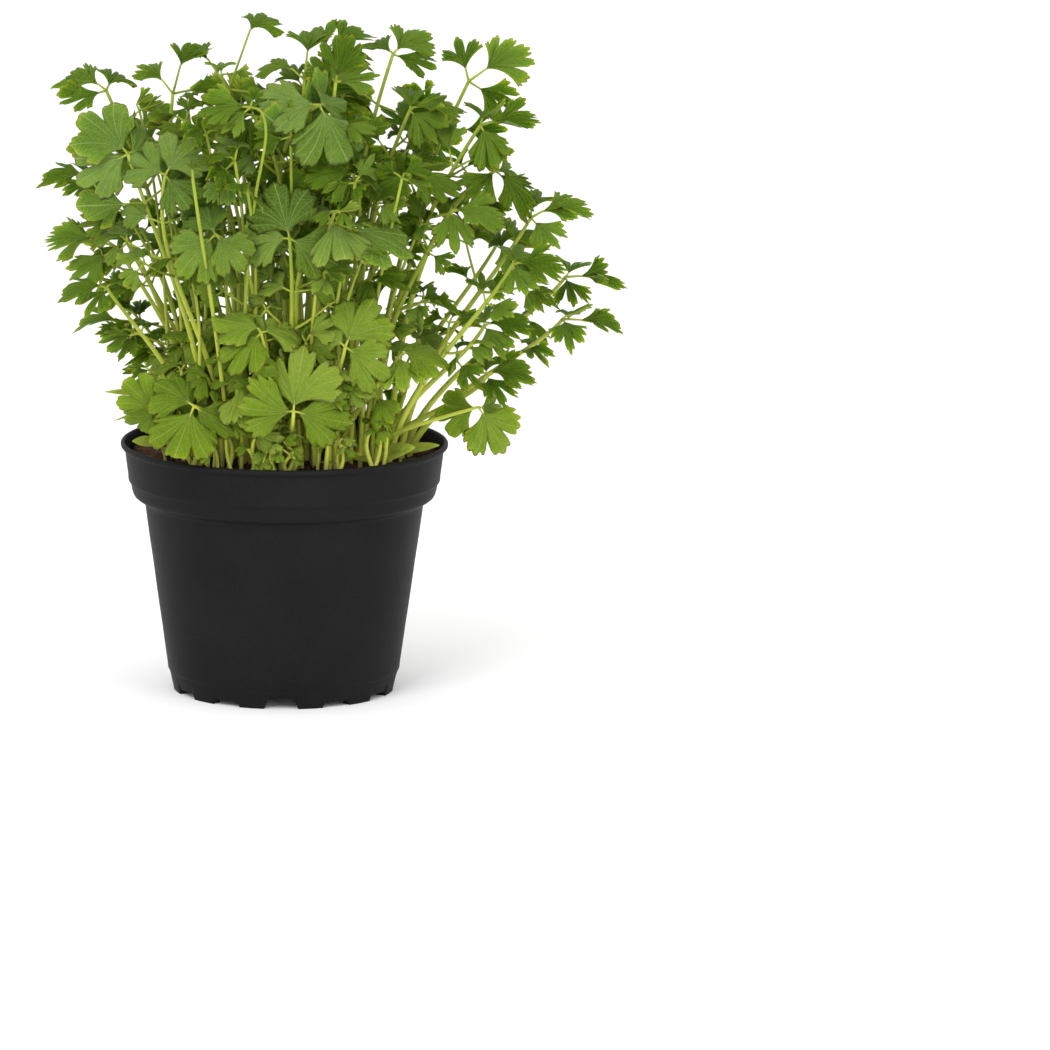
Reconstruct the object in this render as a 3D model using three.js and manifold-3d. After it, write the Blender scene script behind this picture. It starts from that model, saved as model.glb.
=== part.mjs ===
// Potted parsley: a black plastic nursery pot, its soil, and a full bunch of leafy stems.
// Millimetres, +Z up. The pot stands on Z = 0 and the front of the bunch faces -Y.
import * as THREE from "three";
import { mergeVertices } from "three/addons/utils/BufferGeometryUtils.js";
import Module from "manifold-3d";

const wasm = await Module();
wasm.setup();

// The bunch leans to the right, so the pot's axis stands left of the middle of the whole thing.
const potAxisX = -19;
const potAxisY = -6.1;

// Pot
const potHeight = 99.8;
const rimRadius = 65;
const lipHeight = 3.1;
const lipReach = 1.7;
const lipWidth = 2;
const collarHeight = 14.8;
const collarRadius = 61.8;
const collarFootHeight = 83.8;
const collarFootRadius = 60.9;
const shoulderHeight = 79;
const shoulderRadius = 60;
const bodyTopHeight = 75.2;
const bodyTopRadius = 55.2;
const bodyFootHeight = 8.4;
const bodyFootRadius = 46.1;
const baseRadius = 44;
const footRingWidth = 4;
const wall = 1.2;
const floorHeight = 5.6;
const floorFillet = 3;
const footCount = 12;
const footHeight = 2;
const footWidthDegrees = 14;
const footSlopeDegrees = 0.5;
const drainEvery = 3;
const drainHeight = 4.4;
const drainWidthDegrees = 17;
const drainHoles = 6;
const drainHoleRadius = 4;
const drainHoleSides = 8;
const drainHoleCircle = 30;
const potSides = 28;

// Soil
const soilGap = 0.35;
const soilTop = 93.6;
const soilCrown = 2.2;
const soilRoughness = 0.9;
const soilSides = 22;
const soilRings = [1, 0.6];

// Stems
const stemRadius = 1.2;
const stemSides = 3;
const stemSteps = 5;
const stemDepth = 9;
const stemFootGap = 0.3;
const stemStraight = 2;
const stemLift = 1.1;
const holeRadius = 2.1;
const rootSpread = 0.48;
const rootSpacing = 4.4;
const rootLimit = 50;
const rootPasses = 60;
const clearance = 0.35;

// Leaves
const growth = 1.06;
const stalkWidth = 1.3;
const stalkThickness = 1.2;
const bladeThickness = 0.72;
const hubPlace = 0.32;
const hubThickness = 0.96;
const shortestStalk = 2.5;
const sideFan = 0.8;
const sideLength = 0.92;
const sideStalk = 0.6;
const sideTwist = 10;
const pairHeight = 219;
const pairDrop = 21;
const pairLength = 0.85;
const pairStalk = 8;
const pairSpread = 70;
const pairSky = 0.5;
const nodeVolume = 2.8;

// Seedlings
const seedRadius = 0.8;
const seedGap = 0.8;
const seedDepth = 6;
const seedSteps = 2;
const seedPoints = 7;
const seedBaseDegrees = 22;
const seedDroop = 0.12;

const colours = {
  pot: { color: 0x1c1c1c, roughness: 0.55, metalness: 0 },
  soil: { color: 0x3a2218, roughness: 1, metalness: 0 },
  cut: { color: 0x5a7a22, roughness: 0.5, metalness: 0 },
  broad: { color: 0x7c9632, roughness: 0.5, metalness: 0 },
  seed: { color: 0x8f9c40, roughness: 0.5, metalness: 0 },
};

// How the two kinds of leaflet are cut: half the angle of the fan, how much shorter its outer teeth
// are, how far the notch between two teeth and the deep notch between two lobes go in, how the
// blade droops along its length, folds up from its midrib and waves, the angle to the side ones, and
// how much narrower that is on an upright leaf.
const leafKinds = {
  cut: {
    teeth: 7, fan: 57, shorten: 0.34, tooth: 0.17, lobe: 0.48, droop: 0.35, fold: 0.42, wave: 0.07,
    spread: 80, rise: 22,
  },
  broad: {
    teeth: 5, fan: 68, shorten: 0.28, tooth: 0.1, lobe: 0.3, droop: 0.4, fold: -0.12, wave: 0.06,
    spread: 96, rise: 0,
  },
};

// Which way the stalks of a leaf look, and how far its blades turn from there towards the sky
const faces = {
  up: { look: [0, -0.25, 1], sky: 0.5 },
  front: { look: [0, -0.9, 0.45], sky: 0.35 },
  frontUp: { look: [0, -0.7, 0.8], sky: 0.8 },
  left: { look: [-0.6, -0.6, 0.6], sky: 0.1 },
  right: { look: [0.6, -0.6, 0.6], sky: 0.1 },
  leftUp: { look: [-0.5, -0.15, 0.9], sky: 0.5 },
  rightUp: { look: [0.5, -0.15, 0.9], sky: 0.5 },
  back: { look: [0, 0.8, 0.6], sky: 0.25 },
  hanging: { look: [0, -0.9, 0.4], sky: 0 },
};
const sky = [0, -0.35, 1];

// The leafy stems: kind of leaflet, place of the node where the leaflets meet (from the pot's axis),
// reach from there to the tip of the middle leaflet, length of a blade, and the way the face looks.
const leafyStems = [
  ["cut", [-23, 22, 237], [14, 3, 40], 17, "frontUp"],
  ["cut", [-45, 16, 236], [7, 2, 27], 16, "frontUp"],
  ["cut", [-72, 30, 235], [-19, 6, 14], 20, "frontUp"],
  ["broad", [-61, -30, 219], [-14, -5, 19], 22, "front"],
  ["broad", [-46, -38, 212], [8, -4, 17], 18, "front"],
  ["cut", [-77, 14, 202], [-19, -3, 8], 17, "up"],
  ["cut", [-67, 6, 176], [-28, -2, 10], 20, "frontUp"],
  ["cut", [-70, -14, 163], [-17, -4, 6], 16, "frontUp"],
  ["cut", [-58, 28, 142], [-27, 2, 2], 17, "up"],
  ["cut", [7, 16, 242], [3, 3, 29], 18, "frontUp"],
  ["cut", [16, 36, 252], [18, 10, 12], 20, "frontUp"],
  ["cut", [20, -16, 246], [4, -3, 19], 18, "front"],
  ["cut", [42, 20, 252], [12, 8, 14], 19, "frontUp"],
  ["cut", [72, 22, 241], [23, 5, 16], 20, "front"],
  ["cut", [77, -14, 229], [23, -5, 8], 20, "frontUp"],
  ["cut", [83, -14, 211], [16, -5, -13], 20, "right"],
  ["cut", [97, -12, 192], [22, -2, 13], 20, "frontUp"],
  ["cut", [90, -40, 178], [20, -6, 7], 19, "frontUp"],
  ["cut", [111, 26, 162], [24, -2, 2], 18, "up"],
  ["cut", [110, -8, 151], [25, -2, -1], 18, "rightUp"],
  ["cut", [79, -26, 151], [16, -4, 10], 18, "frontUp"],
  ["cut", [80, -18, 130], [16, -4, 10], 18, "frontUp"],
  ["broad", [77, -28, 119], [10, -4, -15], 18, "hanging"],
  ["broad", [3, -54, 190], [-4, -5, 22], 21, "front"],
  ["broad", [-26, -52, 191], [-13, -7, -12], 18, "hanging"],
  ["broad", [19, -50, 196], [32, -9, -9], 24, "frontUp"],
  ["broad", [-8, -56, 153], [-9, -6, 17], 19, "frontUp"],
  ["broad", [25, -58, 148], [7, -6, 19], 20, "front"],
  ["broad", [46, -48, 143], [14, -4, 8], 17, "frontUp"],
  ["broad", [5, -62, 123], [1, -9, 14], 24, "front"],
  ["broad", [-34, -58, 124], [-5, -8, -12], 20, "hanging"],
  ["broad", [-17, -50, 130], [9, -6, 11], 18, "frontUp"],
  ["broad", [-49, -46, 120], [-6, -5, 6], 14, "left"],
  ["broad", [14, -36, 240], [11, -10, -19], 24, "right"],
  ["cut", [-12, -26, 234], [-19, -4, 5], 20, "frontUp"],
  ["cut", [-4, -14, 221], [-14, -9, 5], 19, "up"],
  ["cut", [49, 4, 232], [12, -4, 10], 20, "frontUp"],
  ["cut", [50, -20, 211], [14, -9, -3], 20, "frontUp"],
  ["cut", [28, -40, 212], [-6, -6, 10], 18, "frontUp"],
  ["cut", [66, -34, 198], [13, -7, 5], 20, "frontUp"],
  ["broad", [-22, -36, 213], [-8, -6, 12], 18, "frontUp"],
  ["cut", [-53, 42, 209], [-12, 10, 12], 22, "leftUp"],
  ["cut", [-20, 50, 220], [-4, 14, 14], 22, "back"],
  ["cut", [14, 48, 226], [3, 10, 18], 22, "back"],
  ["cut", [50, 44, 218], [12, 10, 14], 22, "rightUp"],
  ["cut", [-64, 40, 172], [-16, 12, 6], 22, "leftUp"],
  ["broad", [-34, 62, 170], [-6, 16, 4], 22, "back"],
  ["broad", [2, 62, 182], [2, 15, 5], 24, "back"],
  ["cut", [40, 60, 172], [6, 16, 6], 22, "back"],
  ["cut", [84, 36, 174], [18, 10, 8], 22, "rightUp"],
  ["broad", [-24, 58, 132], [-4, 14, 4], 20, "back"],
  ["broad", [24, 58, 136], [6, 14, 4], 20, "back"],
];

// The seedlings: root, top of the little stem, reach of its one plain leaf, and the leaf's width
const seedlings = [
  { root: [-46, -22], top: [-49, -25, 103], reach: [-10, -3, 2], width: 5.5 },
  { root: [36, -30], top: [37, -33, 99], reach: [14, -9, 7.5], width: 9 },
  { root: [46, -20], top: [47, -23, 100], reach: [14, -4, 4.5], width: 5 },
  { root: [21, -42], top: [23, -46, 100], reach: [7, -5, 5], width: 4 },
  { root: [-45, -13], top: [-52, -18, 121], reach: [-18, -3, 3], width: 3.2 },
];

// The same seeded draw for every leaf that the tables leave open
function seededDraw(seed) {
  let state = seed;
  return () => {
    state = (Math.imul(state, 1664525) + 1013904223) >>> 0;
    return state / 4294967296;
  };
}

function toManifold(geometry) {
  const bare = geometry.clone();
  bare.deleteAttribute("normal");
  bare.deleteAttribute("uv");
  const merged = mergeVertices(bare, 1e-4);
  const mesh = new wasm.Mesh({
    numProp: 3,
    vertProperties: new Float32Array(merged.attributes.position.array),
    triVerts: new Uint32Array(merged.index.array),
  });
  return new wasm.Manifold(mesh);
}

function toGeometry(solid) {
  const mesh = solid.getMesh();
  const geometry = new THREE.BufferGeometry();
  geometry.setAttribute("position", new THREE.BufferAttribute(new Float32Array(mesh.vertProperties), 3));
  geometry.setIndex(new THREE.BufferAttribute(new Uint32Array(mesh.triVerts), 1));
  geometry.computeVertexNormals();
  return geometry;
}

function triangleMesh(points, triangles) {
  const geometry = new THREE.BufferGeometry();
  const flat = points.flatMap((point) => [point.x, point.y, point.z]);
  geometry.setAttribute("position", new THREE.Float32BufferAttribute(flat, 3));
  geometry.setIndex(triangles.flat());
  return geometry;
}

function vector(list) {
  return new THREE.Vector3(...list);
}

// Pot: one lathe for the wall and the floor, then the gaps between its feet and the drain holes
function potOutline() {
  return [
    [0, footHeight + 0.4],
    [baseRadius - footRingWidth, footHeight + 0.4],
    [baseRadius - footRingWidth, 0],
    [baseRadius, 0],
    [bodyFootRadius, bodyFootHeight],
    [bodyTopRadius, bodyTopHeight],
    [bodyTopRadius + 2.2, bodyTopHeight + 1.8],
    [shoulderRadius, shoulderHeight],
    [collarFootRadius, collarFootHeight],
    [collarRadius, potHeight - collarHeight],
    [rimRadius - lipReach, potHeight - lipHeight],
    [rimRadius, potHeight - 1.6],
    [rimRadius - 0.6, potHeight],
    [rimRadius - lipWidth, potHeight],
    ...potInside(),
    [0, floorHeight],
  ];
}

// The inside of the wall, from the collar down to the floor
function potInside() {
  return [
    [collarFootRadius - wall, collarFootHeight],
    [bodyTopRadius - wall, bodyTopHeight],
    [bodyFootRadius - wall - 0.7, floorHeight + floorFillet],
    [baseRadius - wall - 1, floorHeight],
  ];
}

// Radius inside the pot at a height
function innerRadius(z) {
  const outline = [[rimRadius - lipWidth, potHeight], ...potInside()];
  const step = outline.findIndex(([, height]) => height <= z);
  const [highRadius, highZ] = outline[step - 1];
  const [lowRadius, lowZ] = outline[step];
  return lowRadius + ((highRadius - lowRadius) * (z - lowZ)) / (highZ - lowZ);
}

// A block across the foot ring, narrower at its top, that cuts one gap between two feet
function gapBlock(widthDegrees, height, angle) {
  const outer = baseRadius + footRingWidth;
  const inner = baseRadius - 2 * footRingWidth;
  const half = THREE.MathUtils.degToRad(widthDegrees / 2);
  const slope = THREE.MathUtils.degToRad(footSlopeDegrees);
  const corners = [];
  for (const [radius, z] of [[inner, -1], [outer, -1], [outer, height], [inner, height]]) {
    const reach = z > 0 ? half - slope : half;
    for (const turn of [angle - reach, angle + reach]) {
      corners.push(new THREE.Vector3(radius * Math.cos(turn), radius * Math.sin(turn), z));
    }
  }
  const quads = [[0, 2, 3, 1], [2, 4, 5, 3], [4, 6, 7, 5], [6, 0, 1, 7], [0, 6, 4, 2], [1, 3, 5, 7]];
  const triangles = quads.flatMap(([a, b, c, d]) => [[a, c, b], [a, d, c]]);
  return toManifold(triangleMesh(corners, triangles));
}

function makePot() {
  const profile = potOutline().map(([radius, z]) => new THREE.Vector2(radius, z));
  const lathe = new THREE.LatheGeometry(profile, potSides);
  lathe.rotateX(Math.PI / 2);
  let pot = toManifold(lathe);
  const pitch = 360 / footCount;
  for (let gap = 0; gap < footCount; gap += 1) {
    const drain = gap % drainEvery === 0;
    const width = drain ? drainWidthDegrees : pitch - footWidthDegrees;
    const height = drain ? drainHeight : footHeight;
    pot = pot.subtract(gapBlock(width, height, THREE.MathUtils.degToRad(gap * pitch)));
  }
  for (let hole = 0; hole < drainHoles; hole += 1) {
    const angle = ((hole + 0.5) / drainHoles) * 2 * Math.PI;
    const depth = 2 * floorHeight;
    const drill = new THREE.CylinderGeometry(drainHoleRadius, drainHoleRadius, depth, drainHoleSides);
    drill.rotateX(Math.PI / 2);
    drill.translate(drainHoleCircle * Math.cos(angle), drainHoleCircle * Math.sin(angle), floorHeight);
    pot = pot.subtract(toManifold(drill));
  }
  return pot;
}

// Soil: it fills the pot, with a low crown and a rough top
function soilHeight(x, y) {
  const out = Math.hypot(x, y) / rimRadius;
  const rough = Math.sin(x * 0.41 + 1.3) * Math.cos(y * 0.37) + 0.6 * Math.sin(x * 0.23 - y * 0.29);
  return soilTop + soilCrown * (1 - out * out) + soilRoughness * rough;
}

// Rings of points from the bottom of the soil up the wall and in over the top, closed at both ends
function makeSoil(holes) {
  const chord = Math.cos(Math.PI / potSides);
  const wallRings = [floorHeight + soilGap, floorHeight + floorFillet, bodyTopHeight];
  const inside = (z) => innerRadius(z) * chord - soilGap;
  const rings = wallRings.map((z) => ({ radius: inside(z), height: () => z }));
  soilRings.forEach((share) => rings.push({ radius: inside(soilTop) * share, height: soilHeight }));
  const points = [new THREE.Vector3(0, 0, floorHeight + soilGap)];
  for (const { radius, height } of rings) {
    for (let side = 0; side < soilSides; side += 1) {
      const angle = (side / soilSides) * 2 * Math.PI;
      const x = radius * Math.cos(angle);
      const y = radius * Math.sin(angle);
      points.push(new THREE.Vector3(x, y, height(x, y)));
    }
  }
  const top = points.push(new THREE.Vector3(0, 0, soilHeight(0, 0))) - 1;
  const at = (ring, side) => 1 + ring * soilSides + (side % soilSides);
  const triangles = [];
  for (let side = 0; side < soilSides; side += 1) {
    triangles.push([0, at(0, side + 1), at(0, side)]);
    for (let ring = 1; ring < rings.length; ring += 1) {
      triangles.push([at(ring - 1, side), at(ring - 1, side + 1), at(ring, side + 1)]);
      triangles.push([at(ring - 1, side), at(ring, side + 1), at(ring, side)]);
    }
    triangles.push([at(rings.length - 1, side), at(rings.length - 1, side + 1), top]);
  }
  const soil = toManifold(triangleMesh(points, triangles));
  return holes.reduce((rest, hole) => rest.subtract(hole), soil);
}

// Roots: each under its own leaves, drawn in towards the middle, then pushed apart to their spacing
function placeRoots() {
  const roots = leafyStems.map(([, node]) => new THREE.Vector2(node[0], node[1]).multiplyScalar(rootSpread));
  const fixed = seedlings.map(({ root }) => new THREE.Vector2(...root));
  for (let pass = 0; pass < rootPasses; pass += 1) {
    roots.forEach((root, index) => {
      for (const other of [...roots.slice(0, index), ...fixed]) {
        const apart = root.clone().sub(other);
        const length = apart.length() || 1;
        if (length < rootSpacing) {
          root.addScaledVector(apart, (0.5 * (rootSpacing - length)) / length);
          if (!fixed.includes(other)) {
            other.addScaledVector(apart, (-0.5 * (rootSpacing - length)) / length);
          }
        }
      }
      if (root.length() > rootLimit) {
        root.setLength(rootLimit);
      }
    });
  }
  return roots;
}

// Stem: straight up out of its hole, then bent over to its node. A bow moves its middle sideways.
function stemCurve(root, node, reach, bow, depth) {
  const ground = soilHeight(root.x, root.y);
  const foot = new THREE.Vector3(root.x, root.y, ground - depth);
  const collar = new THREE.Vector3(root.x, root.y, ground + stemStraight);
  const rise = node.z - collar.z;
  const lean = vector(reach).normalize().add(new THREE.Vector3(0, 0, stemLift)).normalize();
  const low = collar.clone().add(new THREE.Vector3(bow.x, bow.y, 0.42 * rise));
  low.x += 0.1 * (node.x - root.x);
  low.y += 0.1 * (node.y - root.y);
  const high = node.clone().addScaledVector(lean, -0.34 * rise);
  high.x += bow.x;
  high.y += bow.y;
  const path = new THREE.CurvePath();
  path.add(new THREE.LineCurve3(foot, collar));
  path.add(new THREE.CubicBezierCurve3(collar, low, high, node));
  return path;
}

function stemSolid(path, radius = stemRadius, steps = stemSteps) {
  const section = new THREE.Shape();
  for (let side = 0; side < stemSides; side += 1) {
    const angle = (side / stemSides) * 2 * Math.PI;
    const x = radius * Math.cos(angle);
    const y = radius * Math.sin(angle);
    if (side === 0) {
      section.moveTo(x, y);
    } else {
      section.lineTo(x, y);
    }
  }
  const tube = new THREE.ExtrudeGeometry(section, {
    steps,
    bevelEnabled: false,
    extrudePath: path,
  });
  return toManifold(tube);
}

// Leaflet outline in its own plane: the base at the origin, the midrib along x.
// Teeth point out along rays from the base, and the notches between them are drawn in.
function leafletOutline(kind, length, teeth, share) {
  const half = THREE.MathUtils.degToRad(kind.fan * share);
  const points = [];
  const steps = 2 * (teeth - 1);
  const lobeNotches = { 7: [3, 9], 5: [3, 5], 3: [1, 3] }[teeth];
  for (let step = 0; step <= steps; step += 1) {
    const across = (2 * step) / steps - 1;
    const tip = 1 - kind.shorten * Math.abs(across) ** 1.6;
    let cut = 0;
    if (step % 2 === 1) {
      cut = lobeNotches.includes(step) ? kind.lobe : kind.tooth;
    }
    const radius = length * tip * (1 - cut);
    points.push(new THREE.Vector2(radius * Math.cos(across * half), radius * Math.sin(across * half)));
  }
  return points;
}

// Height of the bent blade over its plane: it folds at the midrib, waves at its lobes and droops.
function bladePoint(kind, length, flat) {
  const along = flat.x / length;
  const across = Math.abs(flat.y) / length;
  const round = Math.atan2(across, Math.max(along, 0.001));
  const wave = kind.wave * Math.cos(round * 7) * (along * along + across * across);
  const lift = kind.fold * across * (1 - 0.4 * across) + wave;
  const droop = kind.droop * (along * along + 0.6 * across * across);
  return new THREE.Vector3(flat.x * (1 - 0.18 * droop), flat.y, length * (lift - 0.6 * droop));
}

// A closed sheet: the same triangles on both faces, and a wall along each edge that only one uses
function thickSheet(middles, thicknesses, triangles) {
  const normals = middles.map(() => new THREE.Vector3());
  const open = new Map();
  for (const [a, b, c] of triangles) {
    const ab = middles[b].clone().sub(middles[a]);
    const ac = middles[c].clone().sub(middles[a]);
    const face = ab.cross(ac).normalize();
    [a, b, c].forEach((corner) => normals[corner].add(face));
    for (const [from, to] of [[a, b], [b, c], [c, a]]) {
      if (!open.delete(`${to} ${from}`)) {
        open.set(`${from} ${to}`, [from, to]);
      }
    }
  }
  const count = middles.length;
  const points = [];
  for (const side of [0.5, -0.5]) {
    middles.forEach((middle, index) => {
      points.push(middle.clone().addScaledVector(normals[index].normalize(), side * thicknesses[index]));
    });
  }
  const all = triangles.flatMap(([a, b, c]) => [[a, b, c], [a + count, c + count, b + count]]);
  for (const [from, to] of open.values()) {
    all.push([from, from + count, to + count], [from, to + count, to]);
  }
  return toManifold(triangleMesh(points, all));
}

// A leaf: a small square node, and on three of its edges a flat stalk, a hub on the blade's midrib
// and a fan of triangles from there out to the teeth
function leafSolid(nodeFrame, leaflets) {
  const half = stalkWidth / 2;
  const corners = [[half, -half], [half, half], [-half, half], [-half, -half]];
  const middles = corners.map(([x, y]) => new THREE.Vector3(x, y, 0).applyMatrix4(nodeFrame));
  const thicknesses = corners.map(() => stalkThickness);
  const triangles = [[0, 1, 2], [0, 2, 3]];
  const edges = { middle: [0, 1], left: [1, 2], right: [3, 0] };
  for (const { kind, length, stalk, teeth, side, frame, turnToSky } of leaflets) {
    const outline = leafletOutline(kind, length, teeth, side === "middle" ? 1 : sideFan);
    const blade = bladeFrame(frame, stalk, turnToSky);
    const add = (point, matrix, thickness) => {
      middles.push(point.applyMatrix4(matrix));
      thicknesses.push(thickness);
      return middles.length - 1;
    };
    const [right, left] = edges[side];
    const endRight = add(new THREE.Vector3(stalk, -half, 0), frame, stalkThickness);
    const endLeft = add(new THREE.Vector3(stalk, half, 0), frame, stalkThickness);
    const hubFlat = new THREE.Vector2(hubPlace * length, 0);
    const hub = add(bladePoint(kind, length, hubFlat), blade, hubThickness);
    const rim = outline.map((flat) => add(bladePoint(kind, length, flat), blade, bladeThickness));
    triangles.push([right, endRight, endLeft], [right, endLeft, left], [endRight, hub, endLeft]);
    triangles.push([endRight, rim[0], hub], [hub, rim[rim.length - 1], endLeft]);
    for (let step = 1; step < rim.length; step += 1) {
      triangles.push([hub, rim[step - 1], rim[step]]);
    }
  }
  return thickSheet(middles, thicknesses, triangles);
}

// Frame of a leaflet: x along its midrib, z out of its upper face, turned about the leaf's face by
// its place in the leaf and then by the turn that keeps it clear of its neighbours.
function leafletFrame({ node, reach, face }, yaw, turn) {
  const along = reach.clone().normalize();
  const up = face.clone();
  up.addScaledVector(along, -up.dot(along)).normalize();
  along.applyAxisAngle(up, THREE.MathUtils.degToRad(yaw + turn.yaw));
  const side = up.clone().cross(along);
  const pitch = THREE.MathUtils.degToRad(turn.pitch);
  along.applyAxisAngle(side, -pitch);
  up.applyAxisAngle(side, -pitch);
  return new THREE.Matrix4().makeBasis(along, side, up).setPosition(node);
}

// Frame of a blade at the end of its stalk: the stalk's own, turned a share of the way to the sky
function bladeFrame(frame, stalk, share) {
  const [along, side, up] = [new THREE.Vector3(), new THREE.Vector3(), new THREE.Vector3()];
  frame.extractBasis(along, side, up);
  const base = new THREE.Vector3(stalk, 0, 0).applyMatrix4(frame);
  up.multiplyScalar(1 - share).addScaledVector(vector(sky), share).normalize();
  along.addScaledVector(up, -along.dot(up)).normalize();
  side.crossVectors(up, along);
  return new THREE.Matrix4().makeBasis(along, side, up).setPosition(base);
}

const naturalTurn = { size: 1, yaw: 0, pitch: 0 };

// Seedling: a short stem and one plain leaf. Its hole is made the same way, wider and deeper.
function makeSeedling({ root, top, reach, width }, deeper, radius) {
  const ground = soilHeight(...root);
  const foot = new THREE.Vector3(...root, ground - seedDepth - deeper);
  const head = vector(top);
  const bend = new THREE.Vector3(...root, (ground + head.z) / 2);
  const tube = stemSolid(new THREE.QuadraticBezierCurve3(foot, bend, head), radius, seedSteps);
  if (deeper > 0) {
    return tube;
  }
  const long = vector(reach).length();
  const aim = { node: head, reach: vector(reach), face: vector(faces.frontUp.look) };
  const frame = leafletFrame(aim, 0, naturalTurn);
  const middles = [new THREE.Vector3(-stalkWidth / 2, 0, 0), new THREE.Vector3(long / 2, 0, -seedDroop * 3)];
  const first = THREE.MathUtils.degToRad(180 + seedBaseDegrees);
  const last = THREE.MathUtils.degToRad(540 - seedBaseDegrees);
  for (let step = 0; step <= seedPoints; step += 1) {
    const angle = first + ((last - first) * step) / seedPoints;
    const share = 0.5 + 0.5 * Math.cos(angle);
    const sag = seedDroop * long * share * share;
    middles.push(new THREE.Vector3(long * share, 0.5 * width * Math.sin(angle), -sag));
  }
  const triangles = [[0, 2, 1], [0, 1, middles.length - 1]];
  for (let corner = 3; corner < middles.length; corner += 1) {
    triangles.push([1, corner - 1, corner]);
  }
  middles.forEach((middle) => middle.applyMatrix4(frame));
  return tube.add(thickSheet(middles, middles.map(() => bladeThickness), triangles));
}

// Turns tried in order, each a little further from the natural place, then smaller leaflets
function listTurns() {
  const turns = [];
  for (const size of [1, 0.8, 0.62]) {
    for (const swing of [0, 14, 28, 42]) {
      const steps = swing === 0 ? [0] : [-swing, 0, swing];
      for (const yaw of steps) {
        for (const pitch of steps) {
          if (swing === 0 || Math.abs(yaw) + Math.abs(pitch) > 0) {
            turns.push({ size, yaw, pitch });
          }
        }
      }
    }
  }
  return turns;
}

function listBows() {
  const bows = [new THREE.Vector2(0, 0)];
  for (const amount of [3, 6, 9, 12]) {
    for (let way = 0; way < 8; way += 1) {
      const angle = (way / 8) * 2 * Math.PI;
      bows.push(new THREE.Vector2(amount * Math.cos(angle), amount * Math.sin(angle)));
    }
  }
  return bows;
}

function boxesApart(a, b, gap) {
  return [0, 1, 2].some((axis) => a.min[axis] > b.max[axis] + gap || b.min[axis] > a.max[axis] + gap);
}

function isClear(solid, others) {
  const box = solid.boundingBox();
  return others.every((other) => boxesApart(box, other.box, clearance)
    || solid.minGap(other.solid, clearance) >= clearance);
}

function placedSolid(solid, owner) {
  return { solid, owner, box: solid.boundingBox() };
}

// The leaves of one stem: three leaflets at its node, and on a tall stem a pair lower down
function planLeaves(index, path, draw) {
  const [kindName, place, reach, size, faceName] = leafyStems[index];
  const kind = leafKinds[kindName];
  const length = size * growth;
  const stalk = Math.max(shortestStalk, vector(reach).length() - size);
  const twist = () => sideTwist * (draw() - 0.5);
  const face = faces[faceName];
  const aim = { node: vector(place), reach: vector(reach), face: vector(face.look) };
  const beside = { teeth: 5, length: length * sideLength, stalk: stalk * sideStalk };
  const spread = kind.spread - kind.rise * Math.max(0, vector(reach).normalize().z);
  const leaves = [{
    aim,
    turnToSky: face.sky,
    leaflets: [
      { side: "middle", yaw: 0, teeth: kind.teeth, length, stalk },
      { side: "left", yaw: spread + twist(), ...beside },
      { side: "right", yaw: -spread - twist(), ...beside },
    ],
  }];
  if (aim.node.z >= pairHeight) {
    const at = 1 - pairDrop / path.getLength();
    const small = { teeth: 3, length: length * pairLength, stalk: pairStalk };
    leaves.push({
      turnToSky: face.sky * pairSky,
      aim: { node: path.getPointAt(at), reach: path.getTangentAt(at), face: aim.face },
      leaflets: [
        { side: "left", yaw: pairSpread + twist(), ...small },
        { side: "right", yaw: -pairSpread - twist(), ...small },
      ],
    });
  }
  return leaves.map((leaf) => {
    const frame = leafletFrame(leaf.aim, 0, naturalTurn);
    return { ...leaf, index, kind, frame, grown: [] };
  });
}

// Middle leaflets are placed first, then the ones beside them, then the lower pairs
function leafletOrder(leaves) {
  const list = leaves.flatMap((leaf) => leaf.leaflets.map((leaflet) => ({ leaf, leaflet })));
  const rank = ({ leaf, leaflet }) => (leaf.leaflets.length === 2 ? 2 : Number(leaflet.side !== "middle"));
  return [0, 1, 2].flatMap((wanted) => list.filter((one) => rank(one) === wanted));
}

// A leaflet takes the first turn that is clear of every other stem and that meets the rest of its
// own leaf only at their node. One with no such turn is left out.
function growLeaflet(leaf, leaflet, turns, placed) {
  const others = placed.filter((one) => one.owner !== leaf.index);
  const meetsAtNode = (solid) => leaf.grown.every((one) => solid.intersect(one.solid).volume() < nodeVolume);
  for (const turn of turns) {
    const frame = leafletFrame(leaf.aim, leaflet.yaw, turn);
    const { kind, turnToSky } = leaf;
    const turned = { ...leaflet, kind, turnToSky, length: leaflet.length * turn.size, frame };
    const solid = leafSolid(leaf.frame, [turned]);
    if (meetsAtNode(solid) && isClear(solid, others)) {
      placed.push(placedSolid(solid, leaf.index));
      leaf.grown.push({ ...turned, solid });
      return;
    }
  }
}

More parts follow.
